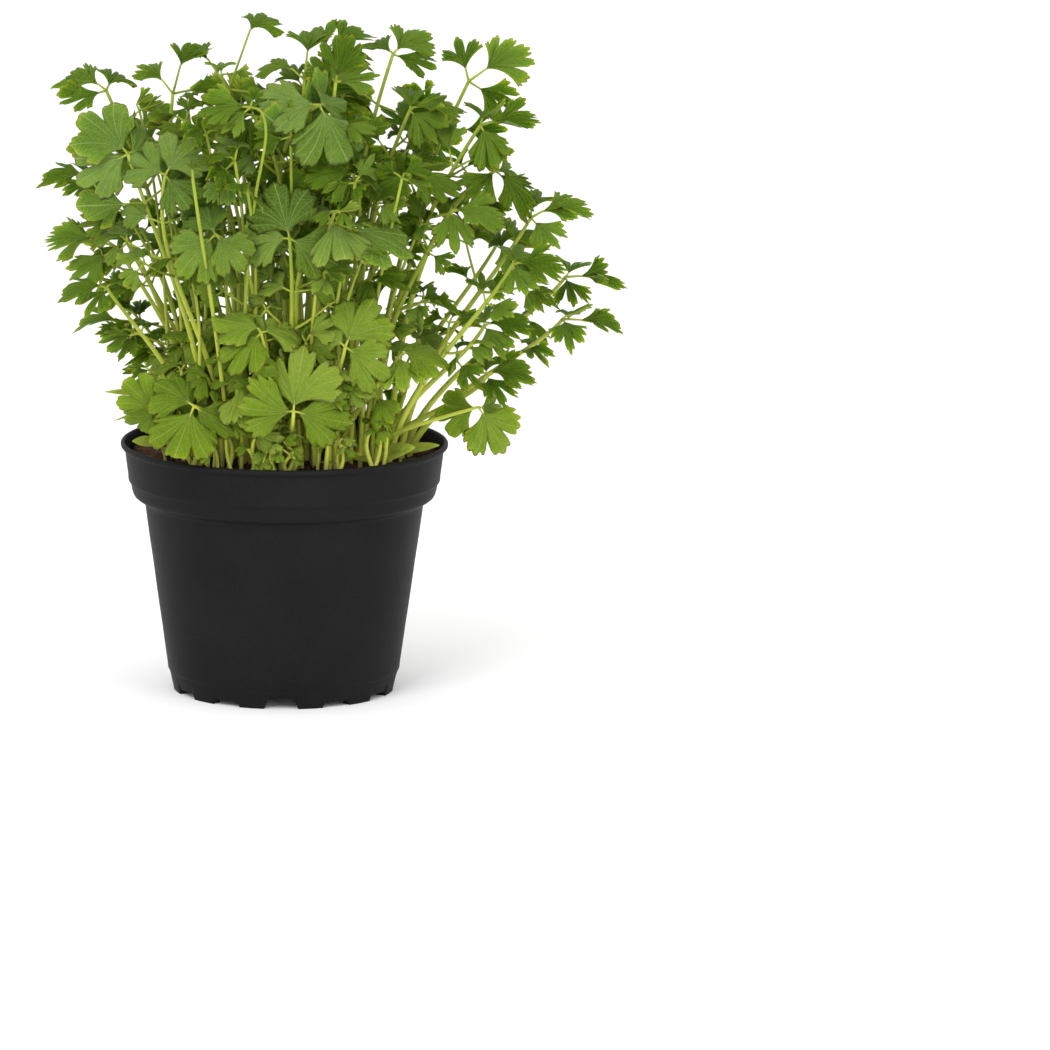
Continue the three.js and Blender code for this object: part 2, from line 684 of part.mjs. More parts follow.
// The bunch: the seedlings and all stems first, then the leaflets one by one
function growBunch(potSolid, soilSolid) {
  const roots = placeRoots();
  const draw = seededDraw(7);
  const bows = listBows();
  const turns = listTurns();
  const sprouts = seedlings.map((seedling) => makeSeedling(seedling, 0, seedRadius));
  const holes = seedlings.map((seedling) => makeSeedling(seedling, stemFootGap, seedRadius + seedGap));
  const placed = [potSolid, ...sprouts].map((solid) => placedSolid(solid, -1));
  const leaves = [];
  const stems = leafyStems.map(([, place, reach], index) => {
    const curve = (bow, depth) => stemCurve(roots[index], vector(place), reach, bow, depth);
    const bow = bows.find((one) => isClear(stemSolid(curve(one, stemDepth)), placed));
    const stem = stemSolid(curve(bow, stemDepth));
    placed.push(placedSolid(stem, index));
    holes.push(stemSolid(curve(bow, stemDepth + stemFootGap), holeRadius));
    leaves.push(...planLeaves(index, curve(bow, stemDepth), draw));
    return stem;
  });
  placed.push(placedSolid(soilSolid, -1));
  leafletOrder(leaves).forEach(({ leaf, leaflet }) => growLeaflet(leaf, leaflet, turns, placed));
  for (const leaf of leaves.filter(({ grown }) => grown.length > 0)) {
    stems[leaf.index] = stems[leaf.index].add(leafSolid(leaf.frame, leaf.grown));
  }
  return { stems, sprouts, holes };
}

function numbered(name, index) {
  return `${name}_${String(index + 1).padStart(2, "0")}`;
}

function addMesh(group, solid, name, look) {
  const mesh = new THREE.Mesh(toGeometry(solid), new THREE.MeshStandardMaterial(look));
  mesh.name = name;
  group.add(mesh);
}

const group = new THREE.Group();
group.position.set(potAxisX, potAxisY, 0);
const pot = makePot();
addMesh(group, pot, "pot", colours.pot);
const bunch = growBunch(pot, makeSoil([]));
addMesh(group, makeSoil(bunch.holes), "soil", colours.soil);
bunch.stems.forEach((stem, index) => {
  addMesh(group, stem, numbered("leafy_stem", index), colours[leafyStems[index][0]]);
});
bunch.sprouts.forEach((sprout, index) => {
  addMesh(group, sprout, numbered("seedling", index), colours.seed);
});
export default group;
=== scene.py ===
import math
import random

import bmesh
import bpy
import numpy as np
from mathutils import Matrix, Vector, noise
from mathutils.bvhtree import BVHTree


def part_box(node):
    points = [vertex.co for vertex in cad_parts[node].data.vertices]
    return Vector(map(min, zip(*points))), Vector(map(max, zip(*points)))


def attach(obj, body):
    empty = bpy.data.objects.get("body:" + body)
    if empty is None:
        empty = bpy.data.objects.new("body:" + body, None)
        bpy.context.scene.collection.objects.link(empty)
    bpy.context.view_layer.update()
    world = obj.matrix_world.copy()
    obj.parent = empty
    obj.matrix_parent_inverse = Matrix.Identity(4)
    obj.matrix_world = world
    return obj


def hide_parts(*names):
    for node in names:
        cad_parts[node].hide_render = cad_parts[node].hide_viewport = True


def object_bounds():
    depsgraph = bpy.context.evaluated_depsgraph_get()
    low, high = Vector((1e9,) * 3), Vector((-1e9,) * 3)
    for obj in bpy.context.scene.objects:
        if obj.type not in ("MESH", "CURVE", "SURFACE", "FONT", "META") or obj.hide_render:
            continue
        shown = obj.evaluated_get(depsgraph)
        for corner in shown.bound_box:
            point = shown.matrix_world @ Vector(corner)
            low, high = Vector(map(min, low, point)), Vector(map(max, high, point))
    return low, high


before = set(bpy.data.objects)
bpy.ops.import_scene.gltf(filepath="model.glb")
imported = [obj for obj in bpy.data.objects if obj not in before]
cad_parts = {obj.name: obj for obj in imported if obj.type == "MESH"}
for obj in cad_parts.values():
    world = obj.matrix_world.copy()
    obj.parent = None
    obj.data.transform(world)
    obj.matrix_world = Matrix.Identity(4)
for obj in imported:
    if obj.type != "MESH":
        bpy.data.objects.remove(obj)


# Potted parsley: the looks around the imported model. Metres, +Z up, the front faces -Y. Tables and
# dictionaries are in millimetres and degrees, and lengths are multiplied by mm where they are used.
mm = 0.001
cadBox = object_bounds()
potLow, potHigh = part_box("pot")
potAxis = np.array([(potLow[0] + potHigh[0]) / 2, (potLow[1] + potHigh[1]) / 2, 0.0])


# Camera: a long lens, a little above the rim, rolled slightly as the photograph is
view = {"aimX": 95.7, "aimZ": 66.3, "distance": 4000, "elevation": 11.1, "roll": 0.45,
        "lens": 345, "sensor": 36, "farEnd": 50000}


def setCamera():
    data = bpy.data.cameras.new("camera")
    data.lens = view["lens"]
    data.sensor_width = view["sensor"]
    data.clip_end = view["farEnd"] * mm
    camera = bpy.data.objects.new("camera", data)
    bpy.context.scene.collection.objects.link(camera)
    aim = Vector(potAxis) + Vector((view["aimX"] * mm, 0, view["aimZ"] * mm))
    tilt = math.radians(view["elevation"])
    away = Vector((0, -math.cos(tilt), math.sin(tilt))) * view["distance"] * mm
    roll = Matrix.Rotation(math.radians(view["roll"]), 4, "Z")
    turned = (-away).to_track_quat("-Z", "Y").to_matrix().to_4x4() @ roll
    camera.matrix_world = Matrix.Translation(aim + away) @ turned
    bpy.context.scene.camera = camera
    print("camera set")


# Light, in metres: a white surround, two soft panels in front and a weak low one for the stems
studio = {"surround": 1.08, "aim": (0, 0, 0.15),
          "panels": {"left": {"place": (-1.5, -3.0, 2.6), "size": 2.0, "power": 74},
                     "right": {"place": (2.4, -2.6, 1.6), "size": 1.6, "power": 24},
                     "low": {"place": (0.3, -3.4, 0.5), "size": 1.2, "power": 24}}}


def setLights():
    scene = bpy.context.scene
    scene.view_settings.view_transform = "Standard"
    world = bpy.data.worlds.new("surround")
    world.use_nodes = True
    backdrop = world.node_tree.nodes["Background"]
    backdrop.inputs["Color"].default_value = (1, 1, 1, 1)
    backdrop.inputs["Strength"].default_value = studio["surround"]
    scene.world = world
    aim = Vector(studio["aim"])
    for name, panel in studio["panels"].items():
        light = bpy.data.lights.new(name + " panel", "AREA")
        light.size = panel["size"]
        light.energy = panel["power"]
        lamp = bpy.data.objects.new(name + " panel", light)
        scene.collection.objects.link(lamp)
        place = Vector(panel["place"])
        lamp.location = place
        lamp.rotation_euler = (aim - place).to_track_quat("-Z", "Y").to_euler()
    print("lights set")


# Floor, in metres: one pale square far larger than the picture
floorLook = {"size": 60, "tone": 0.97, "rough": 0.9, "shine": 0.1}


def layFloor():
    half = floorLook["size"] / 2
    mesh = bpy.data.meshes.new("floor")
    corners = [(-half, -half, 0), (half, -half, 0), (half, half, 0), (-half, half, 0)]
    mesh.from_pydata(corners, [], [(0, 1, 2, 3)])
    floor = bpy.data.objects.new("floor", mesh)
    bpy.context.scene.collection.objects.link(floor)
    tone = floorLook["tone"]
    material, shader = newMaterial("pale floor")
    shader.inputs["Base Color"].default_value = (tone, tone, tone, 1)
    shader.inputs["Roughness"].default_value = floorLook["rough"]
    shader.inputs["Specular IOR Level"].default_value = floorLook["shine"]
    floor.data.materials.append(material)
    print("floor laid")


# Small helpers for node materials
def newMaterial(name):
    material = bpy.data.materials.new(name)
    material.use_nodes = True
    return material, material.node_tree.nodes["Principled BSDF"]


def setInput(tree, socket, value):
    if isinstance(value, bpy.types.NodeSocket):
        tree.links.new(value, socket)
    else:
        socket.default_value = value


def addNode(tree, kind, inputs=None, **settings):
    made = tree.nodes.new(kind)
    for name, value in settings.items():
        setattr(made, name, value)
    for name, value in (inputs or {}).items():
        setInput(tree, made.inputs[name], value)
    return made


def sums(tree, operation, first, second=0.0, third=0.0):
    inputs = {0: first, 1: second, 2: third}
    return addNode(tree, "ShaderNodeMath", inputs, operation=operation).outputs[0]


def weigh(tree, first, firstShare, second, secondShare):
    return sums(tree, "MULTIPLY_ADD", first, firstShare, sums(tree, "MULTIPLY", second, secondShare))


def fade(tree, value, low, high, toLow=0.0, toHigh=1.0):
    inputs = {"Value": value, "From Min": low, "From Max": high, "To Min": toLow, "To Max": toHigh}
    return addNode(tree, "ShaderNodeMapRange", inputs, interpolation_type="SMOOTHSTEP").outputs[0]


def grain(tree, coordinates, scale, detail=3.0, rough=0.55):
    inputs = {"Vector": coordinates, "Scale": scale, "Detail": detail, "Roughness": rough}
    return addNode(tree, "ShaderNodeTexNoise", inputs).outputs["Fac"]


def ownPlace(tree):
    return addNode(tree, "ShaderNodeTexCoord").outputs["Object"]


def splitAxes(tree, vector):
    return addNode(tree, "ShaderNodeSeparateXYZ", {"Vector": vector}).outputs


def pieceTone(tree):
    return addNode(tree, "ShaderNodeAttribute", attribute_name="tone").outputs["Fac"]


def veinMap(tree):
    return splitAxes(tree, addNode(tree, "ShaderNodeUVMap", uv_map="veinMap").outputs["UV"])


def blendColours(tree, share, first, second):
    mixer = addNode(tree, "ShaderNodeMix", data_type="RGBA")
    factor, firstColour, secondColour = (mixer.inputs[place] for place in (0, 6, 7))
    tree.links.new(share, factor)
    for socket, colour in ((firstColour, first), (secondColour, second)):
        setInput(tree, socket, (*colour, 1) if isinstance(colour, tuple) else colour)
    return mixer.outputs[2]


def rampColours(tree, value, stops):
    ramp = addNode(tree, "ShaderNodeValToRGB", {"Fac": value})
    elements = ramp.color_ramp.elements
    while len(elements) < len(stops):
        elements.new(0.5)
    for element, (position, colour) in zip(elements, stops):
        element.position = position
        element.color = (*colour, 1)
    return ramp.outputs["Color"]


def addBump(tree, shader, height, distance, strength):
    inputs = {"Height": height, "Distance": distance * mm, "Strength": strength}
    bump = addNode(tree, "ShaderNodeBump", inputs)
    tree.links.new(bump.outputs["Normal"], shader.inputs["Normal"])


# Light goes a little way into stems and leaves
def setGlow(shader, look):
    shader.inputs["Subsurface Weight"].default_value = look["glow"]
    shader.inputs["Subsurface Radius"].default_value = look["glowRadius"]
    shader.inputs["Subsurface Scale"].default_value = look["glowDepth"] * mm


# Pot: matte black moulded plastic, a little cloudy, with a fine grain. A coarse or fine grain is its
# scale, in grains a metre, its detail and roughness, then its share of the mottling.
potLook = {"name": "matte black plastic", "coarse": (22, 4, 0.55, 0.65), "fine": (900, 2, 0.55, 0.35),
           "stops": [(0.3, (0.0065, 0.0065, 0.0068)), (0.7, (0.012, 0.0119, 0.0116))],
           "roughRange": (0.3, 0.7), "rough": (0.44, 0.56), "shine": 0.05,
           "bumps": "fine", "relief": 0.12, "strength": 0.5}

# Soil: dark red-brown peat with paler fibres
soilLook = {"name": "potting soil", "coarse": (260, 5, 0.65, 0.5), "fine": (1400, 3, 0.7, 0.5),
            "stops": [(0.32, (0.012, 0.006, 0.004)), (0.5, (0.05, 0.022, 0.012)),
                      (0.66, (0.14, 0.07, 0.04))],
            "rough": 0.92, "shine": 0.2, "bumps": "mottled", "relief": 0.9, "strength": 0.8}


def mottledSkin(look):
    material, shader = newMaterial(look["name"])
    tree = material.node_tree
    place = ownPlace(tree)
    *coarseGrain, coarseShare = look["coarse"]
    *fineGrain, fineShare = look["fine"]
    fine = grain(tree, place, *fineGrain)
    mottled = weigh(tree, fine, fineShare, grain(tree, place, *coarseGrain), coarseShare)
    tree.links.new(rampColours(tree, mottled, look["stops"]), shader.inputs["Base Color"])
    rough = look["rough"]
    if "roughRange" in look:
        rough = fade(tree, mottled, *look["roughRange"], *rough)
    setInput(tree, shader.inputs["Roughness"], rough)
    shader.inputs["Specular IOR Level"].default_value = look["shine"]
    bumps = {"fine": fine, "mottled": mottled}[look["bumps"]]
    addBump(tree, shader, bumps, look["relief"], look["strength"])
    return material


# Stem: pale pinkish foot, light yellow-green above, greener with height, with fine ribs along it. The foot
# and lower colours are partly the stem's own paleness and partly painted light, made lighter against the
# shade of the pot and the crowded stems
stemLook = {"footHeight": 92, "paleHeight": 104, "greenHeight": 195,
            # foot and pale: the stem's own pale base, lightened further as painted light where the pot and
            # stems shade it
            "foot": (0.64, 0.58, 0.19), "pale": (0.61, 0.68, 0.08),
            "green": (0.22, 0.32, 0.012), "lightGreen": (0.4, 0.5, 0.05),
            "blotch": (0.15, 0.22, 0.008), "blotches": 60, "blotchRange": (0.35, 0.7), "blotchShare": 0.3,
            "rib": (0.7, 0.76, 0.17), "ribs": 9, "ribShare": 0.25, "relief": 0.12, "strength": 0.7,
            "rough": 0.42, "shine": 0.2, "glow": 0.2, "glowRadius": (1.0, 1.0, 0.4), "glowDepth": 1.2}


def stemSkin():
    material, shader = newMaterial("stem skin")
    tree = material.node_tree
    place = ownPlace(tree)
    height = splitAxes(tree, place)["Z"]
    foot = fade(tree, height, stemLook["footHeight"] * mm, stemLook["paleHeight"] * mm)
    top = fade(tree, height, stemLook["paleHeight"] * mm, stemLook["greenHeight"] * mm)
    # lower: pale foot colours, partly the stem's own and partly painted light against the shade near the
    # soil
    lower = blendColours(tree, foot, stemLook["foot"], stemLook["pale"])
    upper = blendColours(tree, pieceTone(tree), stemLook["green"], stemLook["lightGreen"])
    colour = blendColours(tree, top, lower, upper)
    blotch = grain(tree, place, stemLook["blotches"], 3)
    spots = fade(tree, blotch, *stemLook["blotchRange"], 0.0, stemLook["blotchShare"])
    mottled = blendColours(tree, spots, colour, stemLook["blotch"])
    around = veinMap(tree)["X"]
    ribs = sums(tree, "SINE", sums(tree, "MULTIPLY", around, stemLook["ribs"] * 2 * math.pi))
    ribShare = fade(tree, ribs, -1, 1, 0.0, stemLook["ribShare"])
    ribbed = blendColours(tree, ribShare, mottled, stemLook["rib"])
    tree.links.new(ribbed, shader.inputs["Base Color"])
    shader.inputs["Roughness"].default_value = stemLook["rough"]
    shader.inputs["Specular IOR Level"].default_value = stemLook["shine"]
    setGlow(shader, stemLook)
    addBump(tree, shader, ribs, stemLook["relief"], stemLook["strength"])
    return material


# Leaf: green between paler veins. The map's X counts the teeth and its Y runs from the base out.
leafColours = {
    "upper": {"dark": (0.023, 0.052, 0.0006), "mid": (0.055, 0.106, 0.003), "light": (0.115, 0.182, 0.022),
              "vein": (0.2, 0.29, 0.045), "veinShare": 0.55},
    "high": {"dark": (0.036, 0.074, 0.003), "mid": (0.083, 0.146, 0.014), "light": (0.155, 0.235, 0.045),
             "vein": (0.28, 0.38, 0.12), "veinShare": 0.55},
    "lower": {"dark": (0.058, 0.105, 0.0015), "mid": (0.118, 0.186, 0.007), "light": (0.205, 0.285, 0.035),
              "vein": (0.35, 0.43, 0.12), "veinShare": 0.4},
    "under": {"dark": (0.07, 0.118, 0.006), "mid": (0.11, 0.168, 0.012), "light": (0.17, 0.23, 0.03),
              "vein": (0.27, 0.34, 0.07), "veinShare": 0.5},
    "seed": {"dark": (0.15, 0.2, 0.014), "mid": (0.24, 0.29, 0.03), "light": (0.36, 0.4, 0.075),
             "vein": (0.42, 0.46, 0.12), "veinShare": 0.3},
}
leafLook = {"stops": {"dark": 0.2, "mid": 0.52, "light": 0.86}, "greenFrom": 150, "greenTo": 205,
            "mainVein": (0.006, 0.026), "thinVein": (0.01, 0.06), "thinShare": 0.5,
            "sideVeins": 11, "sideSlant": 4, "sideVein": 0.14, "sideShare": 0.65,
            "net": 900, "netVein": 0.12, "netShare": 0.35,
            "clouds": 90, "cloudShare": 0.35, "puckers": 420, "puckerShare": 0.3, "toneShare": 0.5,
            "edge": (0.9, 1.0), "edgeShare": 0.2, "swell": 1.2, "grit": 1600, "gritShare": 0.25,
            "rough": (0.34, 0.5), "roughRange": (0.3, 0.7), "shine": 0.03, "relief": 0.9, "strength": 0.7,
            "glow": 0.45, "glowRadius": (0.7, 1.0, 0.12), "glowDepth": 1.4}


# Share of vein at a point: main veins to the teeth, thin ones between, slanting side ones and a net
def leafVeins(tree, place, teeth, out):
    beside = sums(tree, "PINGPONG", teeth, 0.5)                   # 0 on a main vein, 0.5 half way
    mainVein = fade(tree, sums(tree, "MULTIPLY", beside, out), *leafLook["mainVein"], 1.0, 0.0)
    thirds = sums(tree, "PINGPONG", sums(tree, "MULTIPLY", teeth, 3), 0.5)
    thin = sums(tree, "MULTIPLY", thirds, out)
    thinVein = fade(tree, thin, *leafLook["thinVein"], leafLook["thinShare"], 0.0)
    along = sums(tree, "MULTIPLY", out, leafLook["sideVeins"])
    chevron = sums(tree, "SUBTRACT", along, sums(tree, "MULTIPLY", beside, leafLook["sideSlant"]))
    side = sums(tree, "PINGPONG", chevron, 0.5)
    sideVein = fade(tree, side, 0.0, leafLook["sideVein"], leafLook["sideShare"], 0.0)
    cells = {"Vector": place, "Scale": leafLook["net"]}
    net = addNode(tree, "ShaderNodeTexVoronoi", cells, feature="DISTANCE_TO_EDGE").outputs["Distance"]
    netVein = fade(tree, net, 0.0, leafLook["netVein"], leafLook["netShare"], 0.0)
    return sums(tree, "MAXIMUM", sums(tree, "MAXIMUM", mainVein, thinVein),
                sums(tree, "MAXIMUM", sideVein, netVein))


def leafGreen(tree, patches, veins, edge, colours):
    stops = [(position, colours[name]) for name, position in leafLook["stops"].items()]
    share = sums(tree, "MULTIPLY", veins, colours["veinShare"])
    veined = blendColours(tree, share, rampColours(tree, patches, stops), colours["vein"])
    return blendColours(tree, edge, veined, colours["light"])


# With a second set of colours, the leaf turns to them with its height on the plant
def leafSkin(name, colours, highColours=None, relief=1):
    material, shader = newMaterial(name)
    tree = material.node_tree
    place = ownPlace(tree)
    mapped = veinMap(tree)
    veins = leafVeins(tree, place, mapped["X"], mapped["Y"])
    cloudy = grain(tree, place, leafLook["clouds"], 3)
    puckers = grain(tree, place, leafLook["puckers"], 2)
    spots = weigh(tree, puckers, leafLook["puckerShare"], cloudy, leafLook["cloudShare"])
    patches = sums(tree, "MULTIPLY_ADD", pieceTone(tree), leafLook["toneShare"], spots)
    edge = fade(tree, mapped["Y"], *leafLook["edge"], 0.0, leafLook["edgeShare"])
    colour = leafGreen(tree, patches, veins, edge, colours)
    if highColours:
        height = splitAxes(tree, place)["Z"]
        share = fade(tree, height, leafLook["greenFrom"] * mm, leafLook["greenTo"] * mm)
        colour = blendColours(tree, share, colour, leafGreen(tree, patches, veins, edge, highColours))
    tree.links.new(colour, shader.inputs["Base Color"])
    rough = fade(tree, cloudy, *leafLook["roughRange"], *leafLook["rough"])
    tree.links.new(rough, shader.inputs["Roughness"])
    shader.inputs["Specular IOR Level"].default_value = leafLook["shine"]
    setGlow(shader, leafLook)
    grit = grain(tree, place, leafLook["grit"], 2)
    fine = weigh(tree, grit, leafLook["gritShare"], puckers, leafLook["swell"])
    height = sums(tree, "SUBTRACT", fine, veins)
    addBump(tree, shader, height, leafLook["relief"], leafLook["strength"] * relief)
    return material


# A form gathers the points, faces and maps of one piece before it becomes a mesh. The tone of a part
# makes its leaf or stem darker or lighter; the pot and the soil have no use for it.
evenTone = 0.5


def newForm():
    return {"points": [], "faces": [], "finishes": [], "maps": [], "tones": []}


def addPart(form, points, faces, maps, finishes, tone):
    start = len(form["points"])
    form["points"].extend(points)
    form["maps"].extend(maps)
    form["tones"].extend([tone] * len(points))
    form["faces"].extend([tuple(start + corner for corner in face) for face in faces])
    form["finishes"].extend(finishes)


def makePiece(name, form, materials, replaced):
    mesh = bpy.data.meshes.new(name)
    mesh.from_pydata([tuple(point) for point in form["points"]], [], form["faces"])
    mesh.polygons.foreach_set("material_index", form["finishes"])
    mesh.polygons.foreach_set("use_smooth", [True] * len(form["faces"]))
    corners = np.empty(len(mesh.loops), dtype=np.int32)
    mesh.loops.foreach_get("vertex_index", corners)
    layer = mesh.uv_layers.new(name="veinMap")
    layer.data.foreach_set("uv", np.array(form["maps"], dtype=np.float32)[corners].ravel())
    tones = mesh.attributes.new("tone", "FLOAT", "POINT")
    tones.data.foreach_set("value", form["tones"])
    for material in materials:
        mesh.materials.append(material)
    piece = bpy.data.objects.new(name, mesh)
    bpy.context.scene.collection.objects.link(piece)
    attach(piece, "root")
    if replaced:
        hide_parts(*replaced)
    return piece


# Quads between rings of points, for rings that follow each other in one list from start on
def bandFaces(rings, sides, start=0):
    faces = []
    for ring in range(rings - 1):
        low = start + ring * sides
        high = low + sides
        for side in range(sides):
            after = (side + 1) % sides
            faces.append((low + side, low + after, high + after, high + side))
    return faces


# Closed tube along a path, its section turned without twist, with shallow ribs round it
firstSide = (0.31, 0.95, 0.12)              # a direction that no path here starts along


def addTube(form, path, radii, sides, finish, tone, ribs=0, ribDepth=0.0):
    path = np.asarray(path, dtype=float)
    tangents = np.gradient(path, axis=0)
    tangents /= np.linalg.norm(tangents, axis=1)[:, None]
    across = np.cross(tangents[0], firstSide)
    lengths = np.concatenate([[0], np.cumsum(np.linalg.norm(np.diff(path, axis=0), axis=1))])
    angles = np.linspace(0, 2 * math.pi, sides, endpoint=False)
    swell = 1 + ribDepth * np.cos(ribs * angles)
    points = [tuple(path[0])]
    maps = [(0, 0)]
    for ring, centre in enumerate(path):
        across = across - tangents[ring] * np.dot(across, tangents[ring])
        across /= np.linalg.norm(across)
        beside = np.cross(tangents[ring], across)
        for angle, share in zip(angles, swell):
            away = math.cos(angle) * across + math.sin(angle) * beside
            points.append(tuple(centre + radii[ring] * share * away))
            maps.append((min(angle, 2 * math.pi - angle) / math.pi, lengths[ring] / mm))
    points.append(tuple(path[-1]))
    maps.append((0, lengths[-1] / mm))
    around = [(side, (side + 1) % sides) for side in range(sides)]
    last = 1 + (len(path) - 1) * sides
    faces = [(0, 1 + after, 1 + side) for side, after in around]
    faces += bandFaces(len(path), sides, 1)
    faces += [(last + side, last + after, len(points) - 1) for side, after in around]
    addPart(form, points, faces, maps, [finish] * len(faces), tone)


# Pot: a fine lathe with a rounded lip, a ridge under the collar, a base step and twelve feet.
# Its outlines are radius and height, outside from the floor up and inside from the lip down.
pot = {
    "sides": 360, "liftHeight": 6.4, "liftRadius": 45.6,
    "outer": [(40.0, 4.3), (40.0, 2.2), (40.0, 0.25), (40.25, 0), (43.8, 0), (44.1, 0.3), (44.25, 1.6),
              (44.7, 3.4), (45.1, 5.2), (45.5, 7.2), (45.62, 7.9), (45.95, 8.2), (46.1, 8.5), (46.4, 11.2),
              (47.5, 19), (48.6, 27), (49.6, 33.7), (50.9, 43), (52.1, 52), (53.6, 62), (55.0, 72.4),
              (55.3, 74.6), (55.6, 75.6), (56.4, 76.5), (57.6, 77.1), (58.7, 77.6), (59.6, 78.3),
              (60.05, 79.1), (60.5, 80.6), (61.0, 83.4), (61.25, 83.9), (61.8, 84.2), (61.95, 84.8),
              (62.0, 86.2), (62.5, 90), (63.05, 94.2), (63.2, 96.2), (63.35, 96.9), (63.8, 97.2),
              (64.5, 97.5), (64.9, 98.0), (65.0, 98.6), (64.95, 99.1), (64.7, 99.5), (64.3, 99.75),
              (63.9, 99.8), (63.6, 99.65), (63.4, 99.3), (63.25, 98.6)],
    "inner": [(62.9, 95.8), (61.6, 90), (60.9, 85), (59.8, 83), (58.8, 79.4), (57.6, 78.2), (54.6, 76.6),
              (54.0, 74.4), (50.8, 52), (47.6, 27), (45.2, 9.4), (44.4, 7.0), (42.4, 5.9), (40.0, 5.6)],
    "gapTurn": 30, "gapHalf": 8.0, "gapHeight": 2.0, "slope": 0.7,
    "drainEvery": 3, "drainHalf": 8.5, "drainHeight": 4.1,
    "holes": 6, "holeCircle": 30, "holeRadius": 4, "holeSides": 40, "drill": (1, 8),
}


# Height of the pot's lower edge at an angle: flat feet, gaps between them, every third one a drain
def footLift(degrees):
    gap = round(degrees / pot["gapTurn"])
    isDrain = gap % pot["drainEvery"] == 0
    half = pot["drainHalf"] if isDrain else pot["gapHalf"]
    height = pot["drainHeight"] if isDrain else pot["gapHeight"]
    inside = half - abs(degrees - pot["gapTurn"] * gap)
    return height * min(max(inside / pot["slope"], 0), 1)


def buildPot(material):
    profile = pot["outer"] + pot["inner"]
    floorPoints = (profile[0], profile[-1], profile[-2])
    sides = pot["sides"]
    points = []
    maps = []
    for radius, height in profile:
        drop = 1 - min(height / pot["liftHeight"], 1)             # the gaps fade out up the wall
        isLifted = radius < pot["liftRadius"] and (radius, height) not in floorPoints
        for side in range(sides):
            degrees = 360 * side / sides
            z = height + footLift(degrees) * drop if isLifted else height
            turn = math.radians(degrees)
            points.append((potAxis[0] + radius * mm * math.cos(turn),
                           potAxis[1] + radius * mm * math.sin(turn), z * mm))
            maps.append((degrees / 360, height / 100))
    rows = len(profile)
    faces = bandFaces(rows, sides)
    for row in (0, rows - 1):
        points.append((potAxis[0], potAxis[1], profile[row][1] * mm))
        maps.append((0, 0))
        for side in range(sides):
            edge = (row * sides + side, row * sides + (side + 1) % sides)
            faces.append((len(points) - 1, *(edge if row else reversed(edge))))
    form = newForm()
    addPart(form, points, faces, maps, [0] * len(faces), evenTone)
    piece = makePiece("moulded_pot", form, [material], ["pot"])
    drillPot(piece)
    print("pot built:", len(piece.data.polygons), "faces")


# The drain holes in its floor are drilled with one joined cutter
def drillPot(piece):
    cutter = newForm()
    low, high = pot["drill"]
    for hole in range(pot["holes"]):
        turn = 2 * math.pi * (hole + 0.5) / pot["holes"]
        x = potAxis[0] + pot["holeCircle"] * mm * math.cos(turn)
        y = potAxis[1] + pot["holeCircle"] * mm * math.sin(turn)
        radius = pot["holeRadius"] * mm
        path = [(x, y, low * mm), (x, y, high * mm)]
        addTube(cutter, path, [radius, radius], pot["holeSides"], 0, evenTone)
    mesh = bpy.data.meshes.new("drill")
    mesh.from_pydata(cutter["points"], [], cutter["faces"])
    drill = bpy.data.objects.new("drill", mesh)
    bpy.context.scene.collection.objects.link(drill)
    modifier = piece.modifiers.new("drain holes", "BOOLEAN")
    modifier.operation = "DIFFERENCE"
    modifier.object = drill
    modifier.solver = "EXACT"
    bpy.context.view_layer.update()
    cut = bpy.data.meshes.new_from_object(piece.evaluated_get(bpy.context.evaluated_depsgraph_get()))
    piece.modifiers.clear()
    piece.data = cut
    bpy.data.objects.remove(drill)


# Soil: the same crown and swell as the solid, with clods, crumbs and fibres on top. Its wall is radius
# and height from the top down.
soil = {"top": 93.6, "crown": 2.2, "roughness": 0.9, "rimRadius": 65, "radius": 61.7,
        "wall": [(61.2, 90), (60.4, 84.8), (58.4, 79.6), (57.1, 78), (54.2, 76.4), (53.5, 74), (50.4, 52),
                 (47.2, 27), (44.7, 9.4), (42, 6.2)],
        "rings": 44, "sides": 176, "ringShare": 0.85,
        "clod": 0.9, "clodScale": 0.28, "grit": 0.45, "gritScale": 0.9,
        "crumbs": 330, "crumbSize": (0.5, 1.7), "crumbRise": 0.25, "crumbLump": 0.35, "crumbMargin": 2,
        "crumbStretch": ((0.6, 1), (0.5, 0.9)),
        "fibres": 90, "fibreLength": (5, 15), "fibreRadius": 0.16, "fibreSteps": 6, "fibreSides": 5,
        "fibreBend": (-1.2, 1.2), "fibreArch": 0.9, "fibreRise": 0.25, "fibreMargin": 6, "fibreEnd": 1}
looseTurn = 6.28                            # radians, about one turn


def soilHeight(x, y):
    out = math.hypot(x, y) / soil["rimRadius"]
    rough = math.sin(x * 0.41 + 1.3) * math.cos(y * 0.37) + 0.6 * math.sin(x * 0.23 - y * 0.29)
    return soil["top"] + soil["crown"] * (1 - out * out) + soil["roughness"] * rough


def soilSurface(x, y):
    clod = noise.noise(Vector((x * soil["clodScale"], y * soil["clodScale"], 3.1)))
    grit = noise.noise(Vector((x * soil["gritScale"], y * soil["gritScale"], 8.7)))
    return soilHeight(x, y) + soil["clod"] * clod + soil["grit"] * grit


def onPotAxis(x, y, z):
    return (potAxis[0] + x * mm, potAxis[1] + y * mm, z * mm)


